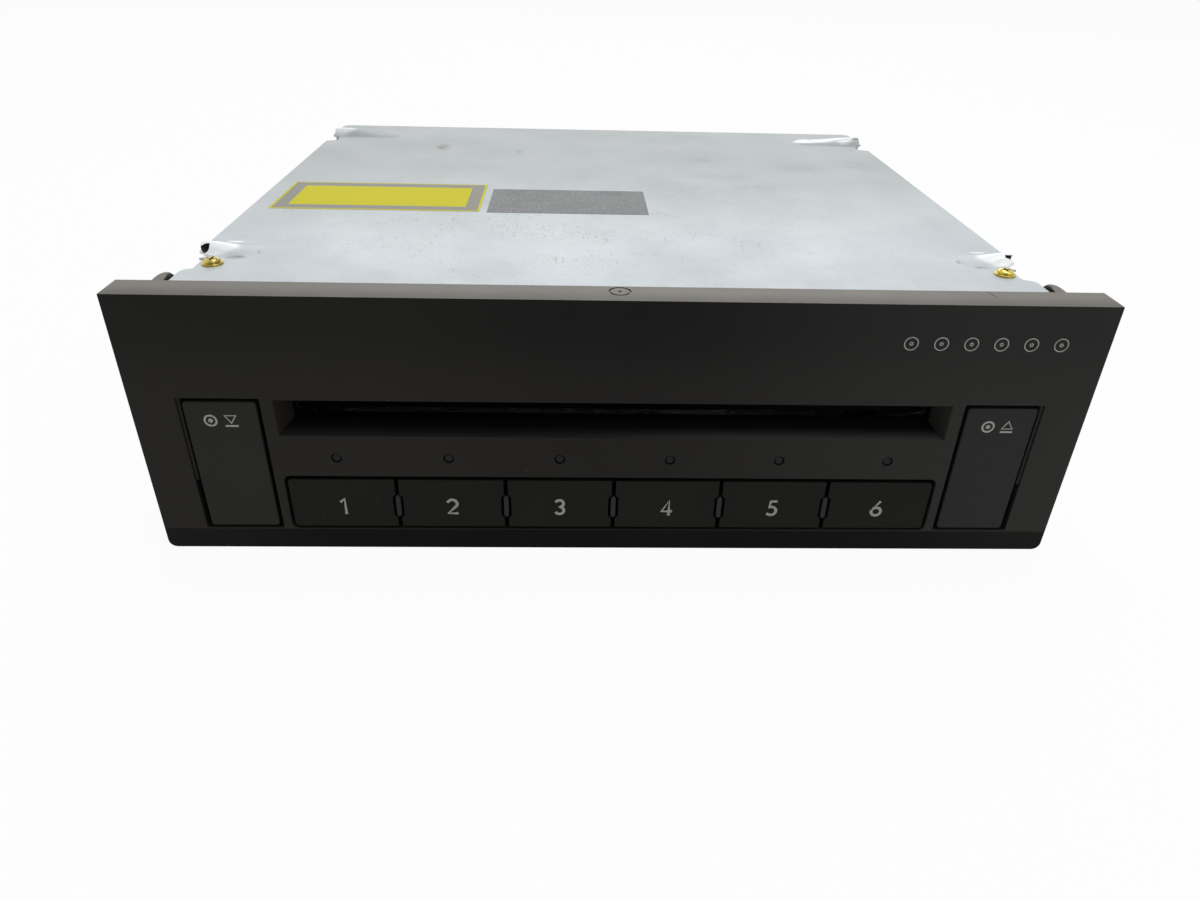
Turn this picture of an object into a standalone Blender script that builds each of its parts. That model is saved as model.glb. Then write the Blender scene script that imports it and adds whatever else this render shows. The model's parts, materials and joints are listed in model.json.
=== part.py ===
"""Slot-loading car disc changer, modelled as the separate pieces it is built from.

Metres, +Z up. X runs across the front panel, +Y runs from the panel's face towards the rear
wall, and Z = 0 is the panel's lower edge. The world origin is the middle of the footprint.
Inside the script every depth is measured back from the panel's face, and one empty at the
face carries the whole assembly.
"""

from dataclasses import dataclass
from math import atan2, cos, hypot, pi, radians, sin

import bmesh
import bpy
from mathutils import Matrix, Vector

# General clearances
GAP = 0.0003
RUNNING_GAP = 0.00025
OVERRUN = 0.002
ROUND_SIDES = 20
SMALL_SIDES = 12
SMOOTH_ANGLE = radians(40)

# Front panel
PANEL_WIDTH = 0.188
PANEL_HEIGHT = 0.0566
PANEL_DEPTH = 0.0074
PANEL_WALL = 0.0022
PANEL_FACE_WALL = 0.0024
PANEL_CORNER_RADIUS = 0.0024
LIP_HEIGHT = 0.0048
LIP_SETBACK = 0.0012

# Disc slot in the panel
SLOT_WIDTH = 0.1248
SLOT_TOP = 0.0354
SLOT_HEIGHT = 0.0058
SLOT_END_BEVEL = 0.0042
SLOT_LOW_BEVEL = 0.0021
SLOT_BEVEL_DEPTH = 0.0042
COLLAR_DEPTH = 0.0064
COLLAR_WALL = 0.0018

# Large keys at the two ends of the panel
LARGE_KEY_WIDTH = 0.0142
LARGE_KEY_LOW = 0.0054
LARGE_KEY_HIGH = 0.0348
LARGE_KEY_INSET = 0.0169
LARGE_KEY_GAP = 0.0009
LARGE_KEY_SIDE_GAP = 0.0003
LARGE_KEY_NOTCH_TOP = 0.0168

# Row of disc keys
DISC_KEYS = 6
KEY_PITCH = 0.0224
KEY_SPLIT = 0.00075
KEY_ROW_LOW = 0.0050
KEY_ROW_HIGH = 0.0181
KEY_TOP_GAP = 0.0010
KEY_LOW_GAP = 0.0003
KEY_ROW_END_GAP = 0.0005
KEY_ROW_RADIUS = 0.0014
ISLAND_WIDTH = 0.00095
ISLAND_LOW = 0.0078
ISLAND_HIGH = 0.0132
ISLAND_CLEARANCE = 0.00055
ISLAND_SETBACK = 0.0004

# Bodies of all keys
KEY_SETBACK = 0.00025
KEY_TRAVEL = 0.0008
KEY_FLANGE = 0.0010
KEY_FLANGE_OVERHANG = 0.0009
KEY_STEM_WIDTH = 0.0060
KEY_STEM_HEIGHT = 0.0050
KEY_STEM_CENTRE_Z = 0.0115
KEY_STEM_END = 0.0066
STEM_CLEARANCE = 0.0005

# Frame behind the keys, light guide, switch mat and front circuit board
GUIDE_FRONT = 0.0049
GUIDE_THICKNESS = 0.0010
GUIDE_SIDE_INSET = 0.0060
GUIDE_LOW = 0.0032
GUIDE_HIGH = 0.0247
GUIDE_SEAT_RADIUS = 0.0015
INDICATOR_Z = 0.0224
INDICATOR_RADIUS = 0.0008
LIGHT_BAR_HEIGHT = 0.0030
LIGHT_BAR_THICKNESS = 0.0012
DOME_RADIUS = 0.0022
DOME_HEIGHT = 0.0006
MAT_THICKNESS = 0.0006
MAT_OVERLAP = 0.0029
MAT_LOW = 0.0060
MAT_HIGH = 0.0200
BOARD_THICKNESS = 0.0012
BOARD_INSET = 0.0030
BOARD_LOW = 0.0055
BOARD_HIGH = 0.0250
STANDOFF_RADIUS = 0.0020
STANDOFF_INSET = 0.0020

# Clip arms of the panel, beside the housing
CLIP_THICKNESS = 0.0022
CLIP_END = 0.0212
CLIP_LOW = 0.0290
CLIP_HIGH = 0.0530

# Housing
HOUSING_FRONT = 0.0077
HOUSING_REAR = 0.1718
HOUSING_BOTTOM = 0.0033
HOUSING_TOP = 0.0533
HOUSING_WIDTH = 0.1782
SHEET = 0.0008
COVER_SHEET = 0.0010
EAR_INSET = 0.0006
EAR_END = 0.0232
EAR_RADIUS = 0.0022
NOTCH_DEPTH = 0.0031
FRONT_NOTCH_END = 0.0312
REAR_NOTCH_INSET = 0.0208
REAR_NOTCH_LENGTH = 0.0048
NOTCH_SLOPE = 0.0010
REAR_CORNER_RADIUS = 0.0026
COVER_SKIRT = 0.0070
FLANGE_WIDTH = 0.0085

# Pressed half-round beads on the cover
BEAD_HEIGHT = 0.0019
FRONT_BEAD_Y = 0.0349
FRONT_BEAD_HALF = 0.0034
FRONT_BEAD_LENGTH = 0.0123
REAR_BEAD_INSET = 0.0148
REAR_BEAD_HALF = 0.0044
REAR_BEAD_LENGTH = 0.0222
BEAD_SHEET = 0.0007

# Screws
SCREW_HEAD_RADIUS = 0.0022
SCREW_HEAD_HEIGHT = 0.0014
SCREW_RADIUS = 0.0013
SCREW_LENGTH = 0.0048
SCREW_RECESS = 0.0007
COVER_SCREW_INSET = 0.0057
COVER_SCREW_Y = 0.0262

# Rear circuit board and connector
MAIN_BOARD_SIDE_INSET = 0.0141
MAIN_BOARD_REAR_INSET = 0.0018
MAIN_BOARD_DEPTH = 0.0110
MAIN_BOARD_Z = 0.0120
CONNECTOR_WIDTH = 0.036
CONNECTOR_HEIGHT = 0.0145
CONNECTOR_X = -0.040
CONNECTOR_DEPTH = 0.0120
CONNECTOR_WALL = 0.0016
CONNECTOR_PIN_ROWS = 2
CONNECTOR_PINS = 6
PIN_SIZE = 0.0010
BOARD_BOSS_INSET = 0.0150
BOARD_BOSS_RADIUS = 0.0030
SIDE_HOLE_PLACES = (0.0500, 0.1300)
SIDE_HOLE_Z = 0.0283
SIDE_HOLE_RADIUS = 0.0020

# Mechanism frame and lead screws
FRAME_FLOOR_Z = 0.0076
FRAME_SHEET = 0.0010
FRAME_FRONT = 0.0140
FRAME_SIDE_INSET = 0.0046
FRAME_WINDOW_RADIUS = 0.0480
DISC_CENTRE_Y = 0.0905
FRONT_LEAD_INSET = 0.0165
FRONT_LEAD_Y = 0.0345
REAR_LEAD_X = -0.0200
REAR_LEAD_INSET = 0.0075
LEAD_RADIUS = 0.0020
LEAD_PIN_RADIUS = 0.0010
LEAD_PIN_LOW = 0.0046
LEAD_TOP = 0.0502
PULLEY_RADIUS = 0.0060
PULLEY_RIM = 0.0009
PULLEY_RIM_HEIGHT = 0.0002
BELT_THICKNESS = 0.0008
BELT_HEIGHT = 0.0014

# Disc trays
TRAYS = 6
TRAY_THICKNESS = 0.0012
TRAY_PITCH = 0.0030
TRAY_STACK_Z = 0.0288
TRAY_OUTER = 0.0600
TRAY_INNER = 0.0500
TRAY_START = radians(62)
TRAY_END = radians(298)
TRAY_BAR_DEPTH = 0.0070
TRAY_EAR_RADIUS = 0.0050
TRAY_SCREW_CLEARANCE = 0.0005

# Feed roller
ROLLER_Y = 0.0215
ROLLER_Z = 0.0266
ROLLER_SHAFT_RADIUS = 0.0012
ROLLER_END_RADIUS = 0.0038
ROLLER_WAIST_RADIUS = 0.0031
ROLLER_END_INSET = 0.0145
ROLLER_CENTRE_GAP = 0.0100
ROLLER_SHAFT_OVERHANG = 0.0035
BRACKET_THICKNESS = 0.0012
BRACKET_INSET = 0.0100
BRACKET_FRONT = 0.0160
BRACKET_REAR = 0.0270
BRACKET_TOP = 0.0402
GUIDE_PLATE_FRONT = 0.0165
GUIDE_PLATE_REAR = 0.0280
GUIDE_PLATE_Z = 0.0362
GUIDE_PLATE_THICKNESS = 0.0012

# Flap behind the slot
FLAP_Y = 0.0080
FLAP_RISE = 0.0024
FLAP_THICKNESS = 0.0006
FLAP_LENGTH = 0.0078
FLAP_SIDE_INSET = 0.0002
FLAP_PIN_RADIUS = 0.0008
FLAP_PIN_OVERHANG = 0.0018
FLAP_EAR_OFFSET = 0.0026
FLAP_EAR_THICKNESS = 0.0014
FLAP_EAR_HEIGHT = 0.0042

# Gears
GEAR_MODULE = 0.0008
GEAR_THICKNESS = 0.0024
TOOTH_ADDENDUM_SHARE = 0.75
TOOTH_DEDENDUM_SHARE = 1.15
TOOTH_ROOT_SHARE = 0.56
TOOTH_TIP_SHARE = 0.26
ROLLER_GEAR_TEETH = 20
ROLLER_GEAR_OFFSET = 0.0045
PINION_TEETH = 8
LEAD_GEAR_TEETH = 24
LEAD_GEAR_THICKNESS = 0.0020
LEAD_MOTOR_DIRECTION = radians(150)
LEAD_MOTOR_BOTTOM = 0.0116
MOTOR_RADIUS = 0.0065
MOTOR_LENGTH = 0.0120
MOTOR_SHAFT_RADIUS = 0.0010

# Swing arm with the pickup
ARM_PIVOT_SIDE_INSET = 0.0125
ARM_PIVOT_REAR_INSET = 0.0170
ARM_PIVOT_RADIUS = 0.0030
POST_FLANGE_RADIUS = 0.0070
POST_FLANGE_HEIGHT = 0.0015
POST_SHOULDER_RADIUS = 0.0050
ARM_POST_TOP = 0.0480
ARM_Z = 0.0150
ARM_SHEET = 0.0012
ARM_TIP_RADIUS = 0.0130
ARM_BUSH_RADIUS = 0.0060
ARM_BUSH_HEIGHT = 0.0090
TURNTABLE_RADIUS = 0.0110
TURNTABLE_THICKNESS = 0.0016
TURNTABLE_HUB_RADIUS = 0.0070
TURNTABLE_HUB_HEIGHT = 0.0018
SPINDLE_RADIUS = 0.0010
SPINDLE_MOTOR_RADIUS = 0.0095
SPINDLE_MOTOR_HEIGHT = 0.0075
SLED_START = 0.0240
SLED_LENGTH = 0.0120
SLED_HALF_WIDTH = 0.0098
SLED_HEIGHT = 0.0040
SLED_WINDOW_HALF = 0.0055
SLED_WINDOW_START = 0.0220
SLED_WINDOW_END = 0.0660
ROD_RADIUS = 0.0011
ROD_OFFSET = 0.0072
LENS_RADIUS = 0.0028
LENS_HEIGHT = 0.0012
ROD_Z = 0.0205
ROD_START = 0.0150
ROD_END = 0.0710
CHEEK_THICKNESS = 0.0016
CHEEK_INSET = 0.0012
CHEEK_MARGIN = 0.0030
CHEEK_RISE = 0.0025
SLED_MOTOR_RADIUS = 0.0036
SLED_MOTOR_LENGTH = 0.0075
SLED_MOTOR_GAP = 0.0005
LENS_GAP = 0.0005
UPRIGHT_HALF_WIDTH = 0.0128
UPRIGHT_THICKNESS = 0.0014
UPRIGHT_FRONT = 0.0160
UPRIGHT_REAR = 0.0080
HINGE_BACK = 0.0120
HINGE_Z = 0.0446
HINGE_PIN_RADIUS = 0.0010
HINGE_PIN_HALF = 0.0136
KNUCKLE_RADIUS = 0.0022
CLAMP_Z = 0.0440
CLAMP_SHEET = 0.0012
CLAMP_HALF_WIDTH = 0.0088
CLAMP_PUCK_RADIUS = 0.0100
CLAMP_PUCK_THICKNESS = 0.0020
CLAMP_PUCK_GAP = 0.0008
PUCK_NECK_RADIUS = 0.0030
PUCK_CAP_RADIUS = 0.0050
PUCK_CAP_THICKNESS = 0.0010
PUCK_CLEARANCE = 0.0006

# Flat cable between the two circuit boards
RIBBON_X = 0.0300
RIBBON_WIDTH = 0.0150
RIBBON_THICKNESS = 0.0003
RIBBON_TOP = 0.0120
RIBBON_REAR_OFFSET = 0.0012

# Rubber dampers under the mechanism frame
DAMPER_RADIUS = 0.0040
DAMPER_WAIST = 0.0028
DAMPER_FRONT_INSETS = (0.0145, 0.0480)
DAMPER_REAR_INSETS = (0.0245, 0.0110)


@dataclass(frozen=True)
class Finish:
    """Colour, roughness and metallic value of a surface."""

    colour: tuple
    roughness: float
    metallic: float = 0.0


PANEL_PLASTIC = Finish((0.017, 0.017, 0.016), 0.42)
KEY_PLASTIC = Finish((0.015, 0.015, 0.015), 0.36)
FRAME_PLASTIC = Finish((0.030, 0.030, 0.032), 0.55)
LIGHT_PLASTIC = Finish((0.20, 0.21, 0.22), 0.25)
SILICONE = Finish((0.32, 0.33, 0.34), 0.70)
CIRCUIT_BOARD = Finish((0.02, 0.12, 0.05), 0.45)
GALVANISED = Finish((0.62, 0.66, 0.67), 0.38, 0.55)
YELLOW_ZINC = Finish((0.62, 0.47, 0.12), 0.28, 0.95)
STEEL = Finish((0.55, 0.55, 0.56), 0.25, 1.0)
NATURAL_PLASTIC = Finish((0.72, 0.71, 0.66), 0.50)
BLACK_RUBBER = Finish((0.02, 0.02, 0.02), 0.85)
MOTOR_CAN = Finish((0.60, 0.60, 0.58), 0.30, 0.9)
CONNECTOR_PLASTIC = Finish((0.03, 0.03, 0.03), 0.50)
CLEAR_LENS = Finish((0.45, 0.55, 0.75), 0.08)


def clear_scene():
    for obj in list(bpy.data.objects):
        bpy.data.objects.remove(obj)


def arc(centre, radius, start, end, steps):
    """Points on an arc, both ends included."""
    return [
        (
            centre[0] + radius * cos(start + (end - start) * i / steps),
            centre[1] + radius * sin(start + (end - start) * i / steps),
        )
        for i in range(steps + 1)
    ]


def circle(centre, radius, sides=ROUND_SIDES):
    return arc(centre, radius, 0, 2 * pi, sides)[:-1]


def rounded_rectangle(low, high, radius, steps=4):
    """Outline of a rectangle with round corners, counter-clockwise from the lower left."""
    corners = (
        (low[0], low[1], pi),
        (high[0], low[1], 1.5 * pi),
        (high[0], high[1], 0),
        (low[0], high[1], 0.5 * pi),
    )
    points = []
    for x, y, start in corners:
        centre_x = x + radius if x == low[0] else x - radius
        centre_y = y + radius if y == low[1] else y - radius
        points += arc((centre_x, centre_y), radius, start, start + pi / 2, steps)
    return points


def mirrored(right_half):
    """Closed outline from its right half, which runs from the front to the rear."""
    return right_half + [(-x, y) for x, y in reversed(right_half)]


def gear_outline(centre, teeth, first_tooth):
    """Outline of a spur gear with straight flanks and a little backlash."""
    pitch_radius = GEAR_MODULE * teeth / 2
    tip = pitch_radius + GEAR_MODULE * TOOTH_ADDENDUM_SHARE
    root = pitch_radius - GEAR_MODULE * TOOTH_DEDENDUM_SHARE
    pitch_angle = 2 * pi / teeth
    corners = (
        (root, -TOOTH_ROOT_SHARE / 2),
        (tip, -TOOTH_TIP_SHARE / 2),
        (tip, TOOTH_TIP_SHARE / 2),
        (root, TOOTH_ROOT_SHARE / 2),
    )
    points = []
    for tooth in range(teeth):
        for radius, share in corners:
            angle = first_tooth + (tooth + share) * pitch_angle
            points.append((centre[0] + radius * cos(angle), centre[1] + radius * sin(angle)))
    return points


class Carrier:
    """An empty on a joint's axis. Pieces and further carriers hang on it."""

    def __init__(self, name, place, parent=None):
        self.place = Vector(place)
        self.empty = bpy.data.objects.new(name, None)
        bpy.context.scene.collection.objects.link(self.empty)
        if parent is None:
            self.empty.location = (0, -HOUSING_REAR / 2, 0)
        else:
            self.empty.parent = parent.empty
            self.empty.location = self.place - parent.place

    def take(self, obj):
        obj.parent = self.empty
        obj.data.transform(Matrix.Translation(-self.place))


class Shape:
    """Closed solids in one mesh, placed in the assembly's frame."""

    def __init__(self):
        self.bm = bmesh.new()

    def loft(self, sections):
        """A solid through matching closed sections, each a list of 3D points."""
        rings = [[self.bm.verts.new(p) for p in section] for section in sections]
        faces = [self.bm.faces.new(rings[0]), self.bm.faces.new(rings[-1])]
        for near, far in zip(rings, rings[1:]):
            for i in range(len(near)):
                j = (i + 1) % len(near)
                faces.append(self.bm.faces.new((near[i], near[j], far[j], far[i])))
        bmesh.ops.recalc_face_normals(self.bm, faces=faces)
        return self

    def prism(self, outline, axis, start, end):
        """A flat outline pushed along an axis."""
        return self.loft([[on_axis(p, axis, level) for p in outline] for level in (start, end)])

    def box(self, low, high):
        outline = ((low[0], low[1]), (high[0], low[1]), (high[0], high[1]), (low[0], high[1]))
        return self.prism(outline, "Z", low[2], high[2])

    def rod(self, centre, radius, axis, start, end, sides=SMALL_SIDES):
        return self.prism(circle(centre, radius, sides), axis, start, end)

    def turned(self, profile, centre, axis, sides=ROUND_SIDES):
        """A solid of revolution. The profile is (radius, level) from one end to the other."""
        return self.loft(
            [[on_axis(p, axis, level) for p in circle(centre, radius, sides)] for radius, level in profile]
        )

    def object(self, name, carrier):
        mesh = bpy.data.meshes.new(name)
        self.bm.to_mesh(mesh)
        self.bm.free()
        obj = bpy.data.objects.new(name, mesh)
        bpy.context.scene.collection.objects.link(obj)
        carrier.take(obj)
        return obj


def on_axis(point, axis, level):
    """A 2D point and a level as a 3D point. The point's axes keep their X, Y, Z order."""
    if axis == "X":
        return (level, point[0], point[1])
    if axis == "Y":
        return (point[0], level, point[1])
    return (point[0], point[1], level)


def material_of(name, finish):
    material = bpy.data.materials.new(name)
    material.use_nodes = True
    shader = material.node_tree.nodes["Principled BSDF"]
    shader.inputs["Base Color"].default_value = (*finish.colour, 1)
    shader.inputs["Roughness"].default_value = finish.roughness
    shader.inputs["Metallic"].default_value = finish.metallic
    material.diffuse_color = (*finish.colour, 1)
    return material


def piece(name, shape, finish, carrier):
    """One named piece of the assembly with its own material."""
    obj = shape.object(name, carrier)
    obj.data.materials.append(material_of(name, finish))
    obj.data.shade_smooth()
    obj.data.set_sharp_from_angle(angle=SMOOTH_ANGLE)
    return obj


def combine(obj, shape, carrier, operation):
    """Adds a Boolean whose operand stays out of the model."""
    operand = shape.object(f"{obj.name}_{operation.lower()}_{len(obj.modifiers)}", carrier)
    operand.hide_render = True
    operand.display_type = "WIRE"
    modifier = obj.modifiers.new(operand.name, "BOOLEAN")
    modifier.operation = operation
    modifier.solver = "EXACT"
    modifier.object = operand


def join(obj, shape, carrier):
    combine(obj, shape, carrier, "UNION")


def cut(obj, shape, carrier):
    combine(obj, shape, carrier, "DIFFERENCE")


# Places that follow from the sizes above

LARGE_KEY_CENTRE = PANEL_WIDTH / 2 - LARGE_KEY_INSET
GUIDE_WIDTH = PANEL_WIDTH - 2 * GUIDE_SIDE_INSET
BOARD_WIDTH = GUIDE_WIDTH - 2 * BOARD_INSET
STANDOFF_X = BOARD_WIDTH / 2 - STANDOFF_INSET
MAT_WIDTH = 2 * (LARGE_KEY_CENTRE + MAT_OVERLAP)
SLOT_LOW = SLOT_TOP - SLOT_HEIGHT
FLAP_Z = SLOT_TOP + FLAP_RISE
FLAP_HALF_WIDTH = SLOT_WIDTH / 2 - FLAP_SIDE_INSET
FLAP_EAR_X = SLOT_WIDTH / 2 + FLAP_EAR_OFFSET
FLAP_PIN_HALF = FLAP_EAR_X + FLAP_PIN_OVERHANG
EAR_HALF_WIDTH = HOUSING_WIDTH / 2 - EAR_INSET
CLIP_INNER = EAR_HALF_WIDTH + GAP
NOTCH_HALF_WIDTH = HOUSING_WIDTH / 2 - NOTCH_DEPTH
REAR_NOTCH_END = HOUSING_REAR - REAR_NOTCH_INSET
REAR_NOTCH_START = REAR_NOTCH_END - REAR_NOTCH_LENGTH
FRONT_BEAD_INNER = HOUSING_WIDTH / 2 - FRONT_BEAD_LENGTH
REAR_BEAD_INNER = HOUSING_WIDTH / 2 - REAR_BEAD_LENGTH
REAR_BEAD_Y = HOUSING_REAR - REAR_BEAD_INSET
COVER_SCREW_X = HOUSING_WIDTH / 2 - COVER_SCREW_INSET
MAIN_BOARD_WIDTH = HOUSING_WIDTH - 2 * MAIN_BOARD_SIDE_INSET
MAIN_BOARD_REAR = HOUSING_REAR - MAIN_BOARD_REAR_INSET
MAIN_BOARD_FRONT = MAIN_BOARD_REAR - MAIN_BOARD_DEPTH
BOARD_BOSS_X = MAIN_BOARD_WIDTH / 2 - BOARD_BOSS_INSET
FRAME_HALF_WIDTH = HOUSING_WIDTH / 2 - FRAME_SIDE_INSET
FRAME_REAR = MAIN_BOARD_FRONT
BRACKET_X = FRAME_HALF_WIDTH - BRACKET_INSET
ROLLER_HALF_LENGTH = BRACKET_X - ROLLER_END_INSET
ROLLER_GEAR_X = BRACKET_X + ROLLER_GEAR_OFFSET
ROLLER_SHAFT_HALF = BRACKET_X + ROLLER_SHAFT_OVERHANG
FRONT_LEAD_X = FRAME_HALF_WIDTH - FRONT_LEAD_INSET
REAR_LEAD_Y = FRAME_REAR - REAR_LEAD_INSET
ARM_PIVOT_X = FRAME_HALF_WIDTH - ARM_PIVOT_SIDE_INSET
ARM_PIVOT_Y = FRAME_REAR - ARM_PIVOT_REAR_INSET
COLLAR_HALF_WIDTH = SLOT_WIDTH / 2 + SLOT_END_BEVEL + COLLAR_WALL
KEY_FLANGE_FRONT = PANEL_FACE_WALL + GAP
KEY_BODY_REAR = KEY_FLANGE_FRONT + KEY_FLANGE
GUIDE_REAR = GUIDE_FRONT + GUIDE_THICKNESS
DOME_TIP = KEY_STEM_END + KEY_TRAVEL + GAP / 2
MAT_FRONT = DOME_TIP + DOME_HEIGHT
BOARD_FRONT = MAT_FRONT + MAT_THICKNESS + GAP
FLOOR_TOP = HOUSING_BOTTOM + SHEET
COVER_BOTTOM = HOUSING_TOP - COVER_SHEET
TUB_HALF_WIDTH = HOUSING_WIDTH / 2 - SHEET - GAP
TUB_TOP = COVER_BOTTOM - GAP
FRAME_TOP = FRAME_FLOOR_Z + FRAME_SHEET
PULLEY_LOW = FRAME_TOP + GAP
BELT_LOW = PULLEY_LOW + PULLEY_RIM_HEIGHT + GAP
BELT_HIGH = BELT_LOW + BELT_HEIGHT
PULLEY_HIGH = BELT_HIGH + GAP + PULLEY_RIM_HEIGHT
LEADS = {
    "front_left": (-FRONT_LEAD_X, FRONT_LEAD_Y),
    "front_right": (FRONT_LEAD_X, FRONT_LEAD_Y),
    "rear": (REAR_LEAD_X, REAR_LEAD_Y),
}
ARM_REACH = hypot(ARM_PIVOT_X, ARM_PIVOT_Y - DISC_CENTRE_Y)
ARM_TIP_Y = ARM_PIVOT_Y - ARM_REACH
ARM_TOP = ARM_Z + ARM_SHEET
TURNTABLE_Z = ARM_TOP + 2 * GAP + SPINDLE_MOTOR_HEIGHT
UPRIGHT_INNER = UPRIGHT_HALF_WIDTH - UPRIGHT_THICKNESS
GEAR_CENTRES = GEAR_MODULE * (PINION_TEETH + LEAD_GEAR_TEETH) / 2
LEAD_MOTOR = (
    -FRONT_LEAD_X + GEAR_CENTRES * cos(LEAD_MOTOR_DIRECTION),
    FRONT_LEAD_Y + GEAR_CENTRES * sin(LEAD_MOTOR_DIRECTION),
)
FEED_MOTOR_Z = ROLLER_Z - GEAR_MODULE * (PINION_TEETH + ROLLER_GEAR_TEETH) / 2


def key_centres():
    return [(number - (DISC_KEYS - 1) / 2) * KEY_PITCH for number in range(DISC_KEYS)]


def split_centres():
    return [x + KEY_PITCH / 2 for x in key_centres()[:-1]]


def stem_centres():
    return [-LARGE_KEY_CENTRE, *key_centres(), LARGE_KEY_CENTRE]


def row_half_width():
    return KEY_PITCH * DISC_KEYS / 2 - KEY_SPLIT / 2 + KEY_ROW_END_GAP


def front_panel(carrier):
    """The moulded front: face, skirts, slot funnel, key openings and the two clip arms."""
    half = PANEL_WIDTH / 2
    corner = PANEL_CORNER_RADIUS
    outline = [(half, PANEL_HEIGHT), (-half, PANEL_HEIGHT)]
    outline += arc((-half + corner, corner), corner, pi, 1.5 * pi, 5)
    outline += arc((half - corner, corner), corner, 1.5 * pi, 2 * pi, 5)
    panel = piece("front_panel", Shape().prism(outline, "Y", 0, PANEL_DEPTH), PANEL_PLASTIC, carrier)
    inner = half - PANEL_WALL
    hollow = Shape().box(
        (-inner, PANEL_FACE_WALL, PANEL_WALL), (inner, PANEL_DEPTH + OVERRUN, PANEL_HEIGHT - PANEL_WALL)
    )
    slope = LIP_SETBACK / LIP_HEIGHT
    foot = LIP_SETBACK + OVERRUN * slope
    lip = ((0, LIP_HEIGHT), (foot, -OVERRUN), (-OVERRUN, -OVERRUN), (-OVERRUN, LIP_HEIGHT))
    hollow.prism(lip, "X", -half - OVERRUN, half + OVERRUN)
    cut(panel, hollow, carrier)
    root = PANEL_FACE_WALL / 2
    collar = Shape().box(
        (-COLLAR_HALF_WIDTH, root, SLOT_LOW - SLOT_LOW_BEVEL - COLLAR_WALL),
        (COLLAR_HALF_WIDTH, COLLAR_DEPTH, SLOT_TOP + COLLAR_WALL),
    )
    for x in split_centres()[::2]:
        collar.rod((x, INDICATOR_Z), GUIDE_SEAT_RADIUS, "Y", root, GUIDE_FRONT - GAP)
    for side in (-1, 1):
        collar.prism(clip_outline(root), "X", side * CLIP_INNER, side * (CLIP_INNER + CLIP_THICKNESS))
    join(panel, collar, carrier)
    join(panel, flap_ears(), carrier)
    cut(panel, panel_openings(), carrier)
    reach = FLAP_PIN_HALF + OVERRUN
    cut(panel, Shape().rod((FLAP_Y, FLAP_Z), FLAP_PIN_RADIUS + GAP, "X", -reach, reach), carrier)


def clip_outline(front):
    """Side view of a clip arm, with its rear corners rounded."""
    radius = (CLIP_HIGH - CLIP_LOW) / 8
    outline = [(front, CLIP_HIGH), (front, CLIP_LOW)]
    outline += arc((CLIP_END - radius, CLIP_LOW + radius), radius, 1.5 * pi, 2 * pi, 4)
    outline += arc((CLIP_END - radius, CLIP_HIGH - radius), radius, 0, pi / 2, 4)
    return outline


def flap_ears():
    """Two ears on the collar that hold the flap's pin."""
    shape = Shape()
    reach = FLAP_Y + FLAP_PIN_RADIUS * 2
    for side in (-1, 1):
        near, far = sorted((side * FLAP_EAR_X, side * (FLAP_EAR_X + FLAP_EAR_THICKNESS)))
        low = FLAP_Z - FLAP_EAR_HEIGHT / 2
        shape.box((near, COLLAR_DEPTH - OVERRUN, low), (far, reach, low + FLAP_EAR_HEIGHT))
    return shape


def rectangle_at(y, half, low, high):
    return [(-half, y, low), (half, y, low), (half, y, high), (-half, y, high)]


def panel_openings():
    """Slot funnel, the two large key openings, the row of disc keys and the indicator holes."""
    half = SLOT_WIDTH / 2
    wide = half + SLOT_END_BEVEL
    low = SLOT_LOW - SLOT_LOW_BEVEL
    shape = Shape().loft(
        [
            rectangle_at(-OVERRUN, wide, low, SLOT_TOP),
            rectangle_at(0, wide, low, SLOT_TOP),
            rectangle_at(SLOT_BEVEL_DEPTH, half, SLOT_LOW, SLOT_TOP),
            rectangle_at(COLLAR_DEPTH + OVERRUN, half, SLOT_LOW, SLOT_TOP),
        ]
    )
    through = (-OVERRUN, PANEL_FACE_WALL + OVERRUN)
    row = row_half_width()
    shape.prism(rounded_rectangle((-row, KEY_ROW_LOW), (row, KEY_ROW_HIGH), KEY_ROW_RADIUS), "Y", *through)
    for side in (-1, 1):
        shape.prism([(side * x, z) for x, z in large_key_opening()], "Y", *through)
    for x in key_centres():
        shape.rod((x, INDICATOR_Z), INDICATOR_RADIUS + GAP, "Y", *through)
    return shape


def large_key_opening():
    """Opening on the right: its outer gap is wide below the notch and narrow above it."""
    inner = LARGE_KEY_CENTRE - LARGE_KEY_WIDTH / 2 - LARGE_KEY_GAP
    outer = LARGE_KEY_CENTRE + LARGE_KEY_WIDTH / 2
    low, high = LARGE_KEY_LOW - LARGE_KEY_SIDE_GAP, LARGE_KEY_HIGH + LARGE_KEY_GAP
    return [
        (inner, low),
        (outer + LARGE_KEY_GAP, low),
        (outer + LARGE_KEY_GAP, LARGE_KEY_NOTCH_TOP),
        (outer + LARGE_KEY_SIDE_GAP, LARGE_KEY_NOTCH_TOP),
        (outer + LARGE_KEY_SIDE_GAP, high),
        (inner, high),
    ]


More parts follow.
